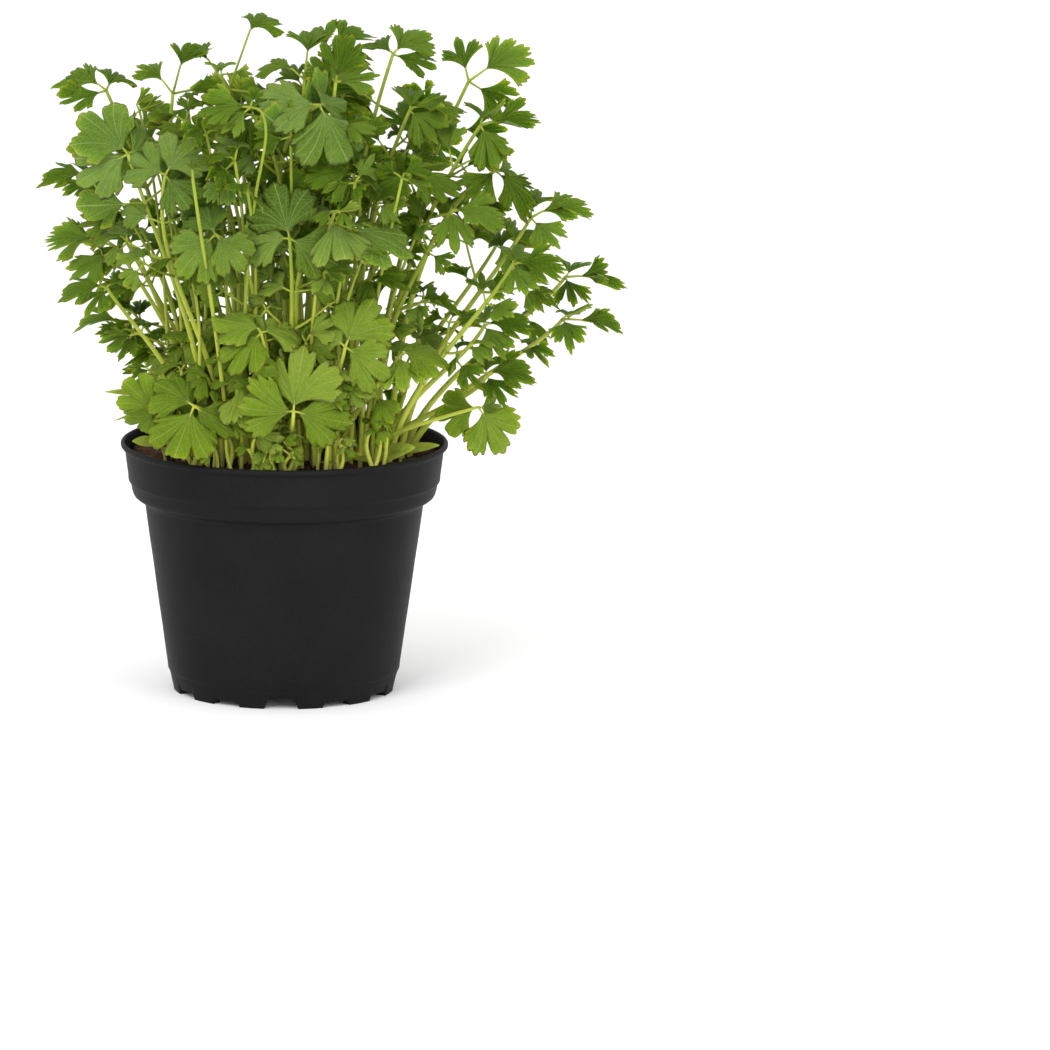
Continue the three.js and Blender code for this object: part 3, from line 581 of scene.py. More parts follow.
def buildSoil(material):
    form = newForm()
    rings, sides = soil["rings"], soil["sides"]
    around = [2 * math.pi * side / sides for side in range(sides)]
    points = [onPotAxis(0, 0, soilSurface(0, 0))]
    for ring in range(1, rings + 1):
        radius = soil["radius"] * (ring / rings) ** soil["ringShare"]
        for angle in around:
            x, y = radius * math.cos(angle), radius * math.sin(angle)
            points.append(onPotAxis(x, y, soilSurface(x, y)))
    for radius, height in soil["wall"]:
        points += [onPotAxis(radius * math.cos(angle), radius * math.sin(angle), height)
                   for angle in around]
    points.append(onPotAxis(0, 0, soil["wall"][-1][1]))
    last = rings + len(soil["wall"])
    at = lambda ring, side: 1 + (ring - 1) * sides + side % sides
    faces = [(0, at(1, side), at(1, side + 1)) for side in range(sides)]
    faces += [(corner, above, across, beside)
              for corner, beside, across, above in bandFaces(last, sides, 1)]
    faces += [(at(last, side + 1), at(last, side), len(points) - 1) for side in range(sides)]
    maps = [(point[0], point[1]) for point in points]
    addPart(form, points, faces, maps, [0] * len(faces), evenTone)
    draw = random.Random(11)
    scatterCrumbs(form, draw)
    scatterFibres(form, draw)
    piece = makePiece("potting_soil", form, [material], ["soil"])
    print("soil built:", len(piece.data.polygons), "faces")


def scatterPlace(draw, margin):
    radius = (soil["radius"] - margin) * math.sqrt(draw.random())
    angle = draw.uniform(0, 2 * math.pi)
    return radius * math.cos(angle), radius * math.sin(angle)


# Crumbs: lumpy balls, each stretched and turned its own way
def scatterCrumbs(form, draw):
    ball, triangles = ballShape()
    for _ in range(soil["crumbs"]):
        x, y = scatterPlace(draw, soil["crumbMargin"])
        size = draw.uniform(*soil["crumbSize"])
        middle = Vector(onPotAxis(x, y, soilSurface(x, y) + soil["crumbRise"] * size))
        turn = Matrix.Rotation(draw.uniform(0, looseTurn), 3, (draw.random(), draw.random(), 0.5))
        stretch = Matrix.Diagonal((1, *(draw.uniform(*limits) for limits in soil["crumbStretch"])))
        seed = draw.uniform(0, 100)
        points = []
        for point in ball:
            lump = 1 + soil["crumbLump"] * noise.noise(point * 1.7 + Vector((seed, 0, 0)))
            points.append(tuple(middle + turn @ (stretch @ (point * size * lump * mm))))
        addPart(form, points, triangles, [(0, 0)] * len(points), [0] * len(triangles), evenTone)


# Fibres: thin curved threads that arch a little over the soil
def scatterFibres(form, draw):
    steps = soil["fibreSteps"]
    for _ in range(soil["fibres"]):
        x, y = scatterPlace(draw, soil["fibreMargin"])
        heading = draw.uniform(0, 2 * math.pi)
        length = draw.uniform(*soil["fibreLength"])
        bend = draw.uniform(*soil["fibreBend"])
        path = []
        for step in range(steps + 1):
            arch = soil["fibreRise"] + soil["fibreArch"] * math.sin(step * math.pi / steps)
            path.append(onPotAxis(x, y, soilSurface(x, y) + arch))
            x += math.cos(heading) * length / steps
            y += math.sin(heading) * length / steps
            heading += bend / steps
        if math.hypot(x, y) < soil["radius"] - soil["fibreEnd"]:
            addTube(form, path, [soil["fibreRadius"] * mm] * len(path), soil["fibreSides"], 0, evenTone)


def ballShape():
    ball = bmesh.new()
    bmesh.ops.create_icosphere(ball, subdivisions=2, radius=1)
    points = [vertex.co.copy() for vertex in ball.verts]
    triangles = [tuple(vertex.index for vertex in face.verts) for face in ball.faces]
    ball.free()
    return points, triangles


# Parsley, with the tables of the frame's own source. In a kind of leaflet, tooth, fineDepth, corner, open
# and notch are for the finer blade only: how deep its large and fine teeth are cut, how far its outer
# corners are cut off, how much wider its fan opens, and how sharp its notches are.
leafKinds = {
    "cut": {"teeth": 7, "fan": 57, "shorten": 0.34, "tooth": 0.12, "lobe": 0.48, "droop": 0.35,
            "fold": 0.42, "wave": 0.07, "spread": 80, "rise": 22,
            "fineDepth": 0.19, "corner": 0.12, "open": 1.04, "notch": (1.1, 2.3)},
    "broad": {"teeth": 5, "fan": 68, "shorten": 0.28, "tooth": 0.1, "lobe": 0.3, "droop": 0.4,
              "fold": -0.12, "wave": 0.06, "spread": 96, "rise": 0,
              "fineDepth": 0.12, "corner": 0.3, "open": 1.14, "notch": (1.9, 3.2)},
}

# Which way the stalks of a leaf look, and how far its blades turn from there towards the sky
looks = {
    "up": {"look": (0, -0.25, 1), "sky": 0.5}, "front": {"look": (0, -0.9, 0.45), "sky": 0.35},
    "frontUp": {"look": (0, -0.7, 0.8), "sky": 0.8}, "back": {"look": (0, 0.8, 0.6), "sky": 0.25},
    "left": {"look": (-0.6, -0.6, 0.6), "sky": 0.1}, "right": {"look": (0.6, -0.6, 0.6), "sky": 0.1},
    "leftUp": {"look": (-0.5, -0.15, 0.9), "sky": 0.5}, "rightUp": {"look": (0.5, -0.15, 0.9), "sky": 0.5},
    "hanging": {"look": (0, -0.9, 0.4), "sky": 0},
}
sky = (0, -0.35, 1)

# The leafy stems: kind, place of the node where the leaflets meet (from the pot's axis), reach from
# there to the tip of the middle leaflet, length of a blade, and the way the leaf looks
leafyStems = [
    ("cut", (-23, 22, 237), (14, 3, 40), 17, "frontUp"),
    ("cut", (-45, 16, 236), (7, 2, 27), 16, "frontUp"),
    ("cut", (-72, 30, 235), (-19, 6, 14), 20, "frontUp"),
    ("broad", (-61, -30, 219), (-14, -5, 19), 22, "front"),
    ("broad", (-46, -38, 212), (8, -4, 17), 18, "front"),
    ("cut", (-77, 14, 202), (-19, -3, 8), 17, "up"),
    ("cut", (-67, 6, 176), (-28, -2, 10), 20, "frontUp"),
    ("cut", (-70, -14, 163), (-17, -4, 6), 16, "frontUp"),
    ("cut", (-58, 28, 142), (-27, 2, 2), 17, "up"),
    ("cut", (7, 16, 242), (3, 3, 29), 18, "frontUp"),
    ("cut", (16, 36, 252), (18, 10, 12), 20, "frontUp"),
    ("cut", (20, -16, 246), (4, -3, 19), 18, "front"),
    ("cut", (42, 20, 252), (12, 8, 14), 19, "frontUp"),
    ("cut", (72, 22, 241), (23, 5, 16), 20, "front"),
    ("cut", (77, -14, 229), (23, -5, 8), 20, "frontUp"),
    ("cut", (83, -14, 211), (16, -5, -13), 20, "right"),
    ("cut", (97, -12, 192), (22, -2, 13), 20, "frontUp"),
    ("cut", (90, -40, 178), (20, -6, 7), 19, "frontUp"),
    ("cut", (111, 26, 162), (24, -2, 2), 18, "up"),
    ("cut", (110, -8, 151), (25, -2, -1), 18, "rightUp"),
    ("cut", (79, -26, 151), (16, -4, 10), 18, "frontUp"),
    ("cut", (80, -18, 130), (16, -4, 10), 18, "frontUp"),
    ("broad", (77, -28, 119), (10, -4, -15), 18, "hanging"),
    ("broad", (3, -54, 190), (-4, -5, 22), 21, "front"),
    ("broad", (-26, -52, 191), (-13, -7, -12), 18, "hanging"),
    ("broad", (19, -50, 196), (32, -9, -9), 24, "frontUp"),
    ("broad", (-8, -56, 153), (-9, -6, 17), 19, "frontUp"),
    ("broad", (25, -58, 148), (7, -6, 19), 20, "front"),
    ("broad", (46, -48, 143), (14, -4, 8), 17, "frontUp"),
    ("broad", (5, -62, 123), (1, -9, 14), 24, "front"),
    ("broad", (-34, -58, 124), (-5, -8, -12), 20, "hanging"),
    ("broad", (-17, -50, 130), (9, -6, 11), 18, "frontUp"),
    ("broad", (-49, -46, 120), (-6, -5, 6), 14, "left"),
    ("broad", (14, -36, 240), (11, -10, -19), 24, "right"),
    ("cut", (-12, -26, 234), (-19, -4, 5), 20, "frontUp"),
    ("cut", (-4, -14, 221), (-14, -9, 5), 19, "up"),
    ("cut", (49, 4, 232), (12, -4, 10), 20, "frontUp"),
    ("cut", (50, -20, 211), (14, -9, -3), 20, "frontUp"),
    ("cut", (28, -40, 212), (-6, -6, 10), 18, "frontUp"),
    ("cut", (66, -34, 198), (13, -7, 5), 20, "frontUp"),
    ("broad", (-22, -36, 213), (-8, -6, 12), 18, "frontUp"),
    ("cut", (-53, 42, 209), (-12, 10, 12), 22, "leftUp"),
    ("cut", (-20, 50, 220), (-4, 14, 14), 22, "back"),
    ("cut", (14, 48, 226), (3, 10, 18), 22, "back"),
    ("cut", (50, 44, 218), (12, 10, 14), 22, "rightUp"),
    ("cut", (-64, 40, 172), (-16, 12, 6), 22, "leftUp"),
    ("broad", (-34, 62, 170), (-6, 16, 4), 22, "back"),
    ("broad", (2, 62, 182), (2, 15, 5), 24, "back"),
    ("cut", (40, 60, 172), (6, 16, 6), 22, "back"),
    ("cut", (84, 36, 174), (18, 10, 8), 22, "rightUp"),
    ("broad", (-24, 58, 132), (-4, 14, 4), 20, "back"),
    ("broad", (24, 58, 136), (6, 14, 4), 20, "back"),
]
# How the roots are spread, how a stem rises and bows to its node, and its section
stem = {"spread": 0.48, "spacing": 4.4, "limit": 50, "passes": 60, "depth": 9, "straight": 2, "lift": 1.1,
        "lowRise": 0.42, "lowLean": 0.1, "highRise": 0.34, "bows": (3, 6, 9, 12), "bowWays": 8,
        "steps": 26, "sides": 12, "ribs": 4, "ribDepth": 0.09,
        "footRadius": 1.2, "flare": 1.15, "flareEnd": 0.12, "topRadius": 0.64}


# The same draw as in the frame's source, for the turns of the side leaflets
def seededDraw(state):
    while True:
        state = (state * 1664525 + 1013904223) % 4294967296
        yield state / 4294967296


def unit(direction):
    direction = np.asarray(direction, dtype=float)
    return direction / np.linalg.norm(direction)


# Roots: under their own leaves, drawn in towards the middle, then pushed apart to their spacing
def placeRoots():
    roots = [np.array(node[:2], dtype=float) * stem["spread"] for _, node, _, _, _ in leafyStems]
    fixed = [np.array(seedling["root"], dtype=float) for seedling in seedlings]
    spacing = stem["spacing"]
    for _ in range(stem["passes"]):
        for index, root in enumerate(roots):
            for position, other in enumerate(roots[:index] + fixed):
                apart = root - other
                length = np.hypot(*apart) or 1
                if length < spacing:
                    root += apart * 0.5 * (spacing - length) / length
                    if position < index:
                        other -= apart * 0.5 * (spacing - length) / length
            if np.hypot(*root) > stem["limit"]:
                root *= stem["limit"] / np.hypot(*root)
    return roots


# Points of a stem from its foot to its node, in millimetres from the pot's axis
def stemPath(root, node, reach, bow):
    soilTop = soilHeight(*root)
    foot = np.array([*root, soilTop - stem["depth"]])
    collar = np.array([*root, soilTop + stem["straight"]])
    node = np.array(node, dtype=float)
    rise = node[2] - collar[2]
    lean = unit(unit(reach) + np.array([0, 0, stem["lift"]]))
    low = collar + np.array([bow[0], bow[1], stem["lowRise"] * rise])
    low[:2] += stem["lowLean"] * (node[:2] - root)
    high = node - stem["highRise"] * rise * lean
    high[:2] += bow
    share = np.linspace(0, 1, stem["steps"])[:, None]
    curve = (1 - share) ** 3 * collar + 3 * (1 - share) ** 2 * share * low
    curve = curve + 3 * (1 - share) * share ** 2 * high + share ** 3 * node
    return np.vstack([foot, curve])


def bentPath(start, bend, end, count):
    share = np.linspace(0, 1, count)[:, None]
    return (1 - share) ** 2 * start + 2 * (1 - share) * share * bend + share ** 2 * end


# Point and heading of a path at a distance back from its end
def alongPath(path, back):
    steps = np.linalg.norm(np.diff(path, axis=0), axis=1)
    lengths = np.concatenate([[0], np.cumsum(steps)])
    at = lengths[-1] - back
    spots = np.array([[np.interp(at + shift, lengths, path[:, axis]) for axis in range(3)]
                      for shift in (-0.5, 0, 0.5)])
    return spots[1], spots[2] - spots[0]


# Sideways bows and turns of leaflets that the frame's own stems may have, in the order of the source
def listBows():
    bows = [np.zeros(2)]
    for amount in stem["bows"]:
        for way in range(stem["bowWays"]):
            angle = 2 * math.pi * way / stem["bowWays"]
            bows.append(amount * np.array([math.cos(angle), math.sin(angle)]))
    return bows


def listTurns():
    turns = []
    for size in leaf["sizes"]:
        for swing in leaf["swings"]:
            steps = (-swing, 0, swing) if swing else (0,)
            turns += [(size, yaw, pitch) for yaw in steps for pitch in steps if swing == 0 or yaw or pitch]
    return turns


# How far points, in millimetres from the pot's axis, lie from a node of the frame
def missBy(tree, points):
    return sum(tree.find_nearest(Vector(onPotAxis(*point)))[3] for point in points) / len(points) / mm


def nodeTree(name):
    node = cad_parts[name]
    corners = [node.matrix_world @ vertex.co for vertex in node.data.vertices]
    return BVHTree.FromPolygons(corners, [tuple(face.vertices) for face in node.data.polygons])


# Frame of a leaflet: along its midrib, to its side, and out of its upper face
def leafletFrame(reach, face, yaw=0.0, pitch=0.0):
    along = Vector(unit(reach))
    up = Vector(face)
    up = (up - along * up.dot(along)).normalized()
    along = Matrix.Rotation(math.radians(yaw), 3, up) @ along
    side = up.cross(along)
    tip = Matrix.Rotation(-math.radians(pitch), 3, side)
    return np.array([tip @ along, side, tip @ up])


# Frame of a blade at the end of its stalk: the stalk's own, turned a share of the way to the sky
def bladeAxes(axes, share, roll=0.0):
    along, up = axes[0], axes[2]
    up = unit((1 - share) * up + share * np.array(sky))
    along = unit(along - up * np.dot(along, up))
    side = np.cross(up, along)
    straight, turned = math.cos(math.radians(roll)), math.sin(math.radians(roll))
    return np.array([along, straight * side + turned * up, straight * up - turned * side])


def atFrame(points, origin, axes):
    return np.asarray(origin) + np.asarray(points, dtype=float) @ axes


# The bend of a blade over its plane, as in the source: it folds at its midrib, waves and droops
def bladeLift(kind, length, x, y):
    along = x / length
    across = np.abs(y) / length
    around = np.arctan2(across, np.maximum(along, 0.001))
    wave = kind["wave"] * np.cos(around * 7) * (along ** 2 + across ** 2)
    lift = kind["fold"] * across * (1 - 0.4 * across) + wave
    droop = kind["droop"] * (along ** 2 + 0.6 * across ** 2)
    return x * (1 - 0.18 * droop), length * (lift - 0.6 * droop)


# The plain outline that the frame's own leaflet has, for finding which way that one was turned
def plainOutline(kind, length, teeth, share):
    half = math.radians(kind["fan"] * share)
    across = np.linspace(-1, 1, teeth)
    radius = length * (1 - kind["shorten"] * np.abs(across) ** 1.6)
    x, y = radius * np.cos(across * half), radius * np.sin(across * half)
    bentX, z = bladeLift(kind, length, x, y)
    return np.stack([bentX, y, z], axis=-1)


# Finer blade: the deep notches by number of teeth, then its numbers. Pairs are the limits of draws, but
# toothBold and fineBold are a depth and what is added to it in a bold blade, which has a few large
# teeth and hardly any fine ones. Large leaves are made in full detail and small ones in less.
bladeLook = {"notches": {7: (1, 4), 5: (1, 2), 3: (0, 1)}, "lobeRound": 0.1, "lean": (-0.12, 0.12),
             "toothVary": (0.82, 1.15), "toothBold": (0.8, 0.9), "tipVary": (0.95, 1.05),
             "fineTeeth": 3, "fineVary": (0.45, 1.3), "fineBold": (1.15, -0.9),
             "baseSpread": 0.5, "pucker": 0.028, "sideLift": (-0.12, 0.3), "twist": (-0.4, 0.4),
             "lobeBend": (-0.12, 0.34), "lobeCup": (-0.14, 0.2), "ruffle": 0.045, "ruffles": 2.6,
             "thickness": 0.36}
bladeDetail = {"full": {"perTooth": 12, "rows": (0.16, 0.34, 0.52, 0.68, 0.82, 0.93, 1.0),
                        "loose": 0.45},
               "small": {"perTooth": 6, "rows": (0.25, 0.5, 0.72, 0.9, 1.0), "loose": 1.0}}
finishAt = {"blade": 0, "under": 1, "stem": 2}        # places of the skins in a piece


# The middles of the three lobes, counted in teeth, and where each ray stands across its own lobe
def lobeParts(teeth, tooth):
    left, right = bladeLook["notches"][teeth]
    edges = np.array([-0.5, left + 0.5, right + 0.5, teeth - 0.5])
    centres = 0.5 * (edges[1:] + edges[:-1])
    lobeAt = np.digitize(tooth, edges[1:-1])
    return centres, 2 * (tooth - centres[lobeAt]) / (edges[1:] - edges[:-1])[lobeAt]


# How far the blade reaches along each ray: deep lobes, rounded teeth and fine teeth on them
def bladeReach(kind, length, teeth, tooth, offset, draw):
    across = 2 * tooth / (teeth - 1) - 1
    bold = draw.random()
    least, more = bladeLook["toothBold"]
    toothDepth = kind["tooth"] * (least + more * bold)
    deep = bladeLook["notches"][teeth]
    depths = [kind["lobe"] if notch in deep else toothDepth for notch in range(teeth)]
    depths = np.array([depth * draw.uniform(*bladeLook["toothVary"]) for depth in depths])
    sharp = draw.uniform(*kind["notch"])
    notchAt = np.minimum(np.floor(tooth), teeth - 2).astype(int)
    cut = depths[notchAt] * (1 - np.sin(math.pi * np.abs(tooth % 1 - 0.5))) ** sharp
    count = bladeLook["fineTeeth"]
    fineDepths = np.array([draw.uniform(*bladeLook["fineVary"]) for _ in range(count * teeth)])
    most, less = bladeLook["fineBold"]
    fineDepths = fineDepths * kind["fineDepth"] * (most + less * bold)
    fine = fineDepths[np.floor(count * tooth).astype(int)] * (1 - np.abs(np.cos(math.pi * count * tooth)))
    tips = np.array([draw.uniform(*bladeLook["tipVary"]) for _ in range(teeth + 1)])
    tipShare = np.interp(tooth, np.arange(teeth + 1), tips)
    reach = length * (1 - kind["shorten"] * np.abs(across) ** 1.6) * tipShare * (1 - cut) * (1 - fine)
    reach = reach * (1 + draw.uniform(*bladeLook["lean"]) * across)
    reach = reach * (1 + bladeLook["lobeRound"] * (0.3 - offset ** 2))
    return reach * (1 - kind["corner"] * np.abs(across) ** 5)


def sheetOffsets(middle, body):
    normal = np.cross(np.gradient(middle, axis=0), np.gradient(middle, axis=1))
    normal /= np.linalg.norm(normal, axis=-1)[..., None]
    return normal * body[..., None]


# Middle points, half thickness and map of a blade: creased at its veins, with lobes that bend and cup
def bladeGrid(kind, length, teeth, share, draw, fineness):
    perTooth, loose = fineness["perTooth"], fineness["loose"]
    tooth = np.arange((teeth - 1) * perTooth + 1) / perTooth
    across = 2 * tooth / (teeth - 1) - 1
    centres, offset = lobeParts(teeth, tooth)
    reach = bladeReach(kind, length, teeth, tooth, offset, draw)
    rows = np.array(fineness["rows"])[:, None]
    base = bladeLook["baseSpread"]
    angle = across * math.radians(kind["fan"] * kind["open"] * share) * (base + (1 - base) * rows ** 0.8)
    out = rows * reach
    x, y = out * np.cos(angle), out * np.sin(angle)
    bentX, z = bladeLift(kind, length, x, y)
    ridge = np.cos(math.pi * tooth) ** 2
    z = z + bladeLook["pucker"] * length * (0.5 - ridge) * np.sin(math.pi * rows)
    z = z + loose * draw.uniform(*bladeLook["sideLift"]) * np.abs(y)
    z = z + loose * draw.uniform(*bladeLook["twist"]) * x * y / length
    bends = np.interp(tooth, centres, [draw.uniform(*bladeLook["lobeBend"]) for _ in centres])
    cup = draw.uniform(*bladeLook["lobeCup"])
    phase = draw.uniform(0, looseTurn)
    ruffle = bladeLook["ruffle"] * np.sin(bladeLook["ruffles"] * tooth + phase) * rows ** 3
    waved = cup * (offset ** 2 - 0.35) * rows ** 2 - bends * rows ** 2.4 + ruffle
    z = z + length * (0.6 + 0.8 * loose) * waved
    middle = np.stack([bentX, y, z], axis=-1)
    body = 0.5 * bladeLook["thickness"] * (1 - rows ** 5) * (1 - np.abs(across) ** 8)
    maps = np.stack([np.broadcast_to(tooth, out.shape), out / length], axis=-1)
    return middle, sheetOffsets(middle, body), maps


# A closed blade: one sheet up and one down from the middle points, joined along their edges
def addBlade(form, grid, base, axes, tone):
    middle, offset, maps = grid
    rows, columns = middle.shape[:2]
    top = atFrame(middle + offset, base, axes)
    under = atFrame(middle - offset, base, axes)
    topAt = 1 + np.arange(rows * columns).reshape(rows, columns)
    underAt = topAt.copy()
    inner = (rows - 1) * (columns - 2)
    underAt[:-1, 1:-1] = 1 + rows * columns + np.arange(inner).reshape(rows - 1, columns - 2)
    points = np.vstack([[base], top.reshape(-1, 3), under[:-1, 1:-1].reshape(-1, 3)])
    allMaps = np.vstack([[[0, 0]], maps.reshape(-1, 2), maps[:-1, 1:-1].reshape(-1, 2)])
    topFaces = sheetFaces(topAt)
    underFaces = [tuple(reversed(face)) for face in sheetFaces(underAt)]
    sides = [finishAt["blade"]] * len(topFaces) + [finishAt["under"]] * len(underFaces)
    addPart(form, (potAxis + points * mm).tolist(), topFaces + underFaces, allMaps.tolist(), sides, tone)


def sheetFaces(at):
    columns = at.shape[1]
    made = [(0, int(at[0, column]), int(at[0, column + 1])) for column in range(columns - 1)]
    quads = np.stack([at[:-1, :-1], at[1:, :-1], at[1:, 1:], at[:-1, 1:]], axis=-1).reshape(-1, 4)
    return made + [tuple(quad) for quad in quads.tolist()]


# A tube of stem along a path in millimetres from the pot's axis
def addStem(form, path, radii, sides, tone, ribs=0, ribDepth=0.0):
    addTube(form, potAxis + path * mm, radii * mm, sides, finishAt["stem"], tone, ribs, ribDepth)


# The leaf as in the source, with the swings and sizes of leaflet that it tries, and how near to the
# frame's own leaflet a turn has to come: a miss past fit is a leaflet that the solid doesn't have.
leaf = {"growth": 1.06, "shortestStalk": 2.5, "sideFan": 0.8, "sideLength": 0.92, "sideStalk": 0.6,
        "sideTwist": 10, "sideTeeth": 5, "pairHeight": 219, "pairDrop": 21, "pairLength": 0.85,
        "pairStalk": 8, "pairSpread": 70, "pairSky": 0.5, "pairTeeth": 3,
        "sizes": (1, 0.8, 0.62), "swings": (0, 14, 28, 42), "fit": 1.6, "goodFit": 0.5,
        "stalkRadius": 0.5, "stalkSides": 6, "usualLength": 22,
        "stalkTaper": (1.15, 1, 0.85, 0.7, 0.5, 0.34, 0.16), "ribRows": 4, "ribDepth": 0.2}


# A stalked leaflet: the stalk bends at its end and runs on under the blade as its midrib
def addLeaflet(form, kind, length, teeth, share, origin, axes, turned, stalk, draw, fineness):
    tone = draw.random()
    grid = bladeGrid(kind, length, teeth, share, draw, fineness)
    base = atFrame([stalk, 0, 0], origin, axes)
    addBlade(form, grid, base, turned, tone)
    middle = grid[0][:, grid[0].shape[1] // 2]
    rib = atFrame(middle[:leaf["ribRows"]] - np.array([0, 0, leaf["ribDepth"]]), base, turned)
    start = atFrame([[-0.2, 0, 0], [0.5 * stalk, 0, 0], [stalk - 0.4, 0, 0]], origin, axes)
    radius = leaf["stalkRadius"] * (0.75 + 0.25 * length / leaf["usualLength"])
    addStem(form, np.vstack([start, rib]), np.array(leaf["stalkTaper"]) * radius, leaf["stalkSides"], tone)


# Leaflets of one stem: three at its node, and on a tall stem a pair lower down
def planLeaves(index, path, draws):
    kindName, node, reach, size, faceName = leafyStems[index]
    kind = leafKinds[kindName]
    face = looks[faceName]
    length = size * leaf["growth"]
    stalk = max(leaf["shortestStalk"], float(np.linalg.norm(reach)) - size)
    twist = lambda: leaf["sideTwist"] * (next(draws) - 0.5)
    spread = kind["spread"] - kind["rise"] * max(0, unit(reach)[2])
    middle = {"teeth": kind["teeth"], "share": 1, "length": length, "stalk": stalk, "yaw": 0,
              "origin": node, "reach": reach, "sky": face["sky"]}
    beside = {**middle, "teeth": leaf["sideTeeth"], "share": leaf["sideFan"],
              "length": length * leaf["sideLength"], "stalk": stalk * leaf["sideStalk"]}
    planned = [middle, {**beside, "yaw": spread + twist()}]
    planned.append({**beside, "yaw": -spread - twist()})
    if node[2] >= leaf["pairHeight"]:
        origin, heading = alongPath(path, leaf["pairDrop"])
        small = {**beside, "teeth": leaf["pairTeeth"], "length": length * leaf["pairLength"],
                 "stalk": leaf["pairStalk"], "origin": origin, "reach": heading,
                 "sky": face["sky"] * leaf["pairSky"]}
        planned.append({**small, "yaw": leaf["pairSpread"] + twist()})
        planned.append({**small, "yaw": -leaf["pairSpread"] - twist()})
    return kind, planned, face


# The turn whose outline lies nearest the frame's own leaflet
def fitLeaflet(tree, kind, plan, face, turns):
    leastMiss, fitted = math.inf, None
    for size, yaw, pitch in turns:
        axes = leafletFrame(plan["reach"], face["look"], plan["yaw"] + yaw, pitch)
        turned = bladeAxes(axes, plan["sky"])
        base = atFrame([plan["stalk"], 0, 0], plan["origin"], axes)
        outline = plainOutline(kind, plan["length"] * size, plan["teeth"], plan["share"])
        miss = missBy(tree, atFrame(outline, base, turned))
        if miss < leastMiss:
            leastMiss, fitted = miss, (size, axes, turned)
        if miss < leaf["goodFit"]:
            break
    return leastMiss, fitted


# Each leafy stem takes the bow and the turns that the frame's own one has, then gets its side branches
def buildLeafyStems(materials):
    roots = placeRoots()
    bows = listBows()
    turns = listTurns()
    draws = seededDraw(7)
    faceTotal = 0
    for index, (kindName, node, reach, _, _) in enumerate(leafyStems):
        number = f"{index + 1:02d}"
        tree = nodeTree("leafy_stem_" + number)
        paths = [stemPath(roots[index], node, reach, bow) for bow in bows]
        path = min(paths, key=lambda tried: missBy(tree, tried[4:-4:4]))
        kind, planned, face = planLeaves(index, path, draws)
        draw = random.Random(100 + index)
        form = newForm()
        girths = [stem["footRadius"] * stem["flare"], stem["footRadius"], stem["topRadius"]]
        radii = np.interp(np.linspace(0, 1, len(path)), [0, stem["flareEnd"], 1], girths)
        addStem(form, path, radii, stem["sides"], draw.random(), stem["ribs"], stem["ribDepth"])
        for plan in planned:
            miss, (size, axes, turned) = fitLeaflet(tree, kind, plan, face, turns)
            if miss < leaf["fit"]:
                addLeaflet(form, kind, plan["length"] * size, plan["teeth"], plan["share"],
                           plan["origin"], axes, turned, plan["stalk"], draw, bladeDetail["full"])
        addSprigs(form, kind, path, face, draw, len(planned) > 3)
        piece = makePiece("parsley_stem_" + number, form, materials[kindName],
                          ["leafy_stem_" + number])
        faceTotal += len(piece.data.polygons)
    print("leafy stems built:", faceTotal, "faces")


# Side branches and small leaves. Pairs are the limits of their draws, and free holds how far a small
# leaflet may swing, pitch, turn to the sky and roll.
sprig = {"lowest": 116, "pairBack": (15, 24), "pairStalk": (3, 7), "pairBlade": (18, 24),
         "pairShare": 0.62, "pairSpread": 70, "turn": (-40, 40),
         "branchBack": (33, 52), "branchLength": (10, 21), "branchOut": 0.85, "branchUp": 0.6,
         "branchLift": 0.35, "branchRadius": 0.62, "branchTaper": (1, 0.75), "branchSteps": 6,
         "branchSides": 6, "spread": (58, 84), "blade": (10, 14.5), "sideBlade": 0.86, "stalk": (1.5, 4),
         "free": {"yaw": (-18, 18), "pitch": (-30, 22), "sky": (0.6, 1.2), "roll": (-32, 32)}}


# Whether the tip of a leaflet stays inside the frame's own box
def staysInside(base, axes, reach):
    tip = potAxis + (base + axes[0] * reach) * mm
    return all(low <= value <= high for low, value, high in zip(cadBox[0], tip, cadBox[1]))


def addFreeLeaflet(form, kind, blade, origin, reach, face, yaw, stalk, draw):
    free = sprig["free"]
    axes = leafletFrame(reach, face["look"], yaw + draw.uniform(*free["yaw"]), draw.uniform(*free["pitch"]))
    turned = bladeAxes(axes, face["sky"] * draw.uniform(*free["sky"]), draw.uniform(*free["roll"]))
    base = atFrame([stalk, 0, 0], origin, axes)
    if staysInside(base, turned, blade):
        addLeaflet(form, kind, blade, leaf["sideTeeth"], leaf["sideFan"], origin, axes, turned, stalk,
                   draw, bladeDetail["small"])


def addThreeLeaflets(form, kind, blade, origin, reach, face, shape, draw):
    spread = draw.uniform(*shape["spread"])
    for yaw, size in ((0, 1), (spread, shape["sideBlade"]), (-spread, shape["sideBlade"])):
        stalk = draw.uniform(*shape["stalk"])
        addFreeLeaflet(form, kind, blade * size, origin, reach, face, yaw, stalk, draw)


# A thin curved branch with three leaflets at its end
def addBranch(form, kind, origin, heading, face, length, blade, draw):
    heading = unit(heading)
    bend = origin + 0.5 * length * heading
    end = bend + 0.5 * length * unit(heading + np.array([0, 0, sprig["branchLift"]]))
    path = bentPath(origin, bend, end, sprig["branchSteps"])
    radii = np.linspace(*sprig["branchTaper"], len(path)) * sprig["branchRadius"]
    addStem(form, path, radii, sprig["branchSides"], draw.random())
    addThreeLeaflets(form, kind, blade, end, end - bend, face, sprig, draw)


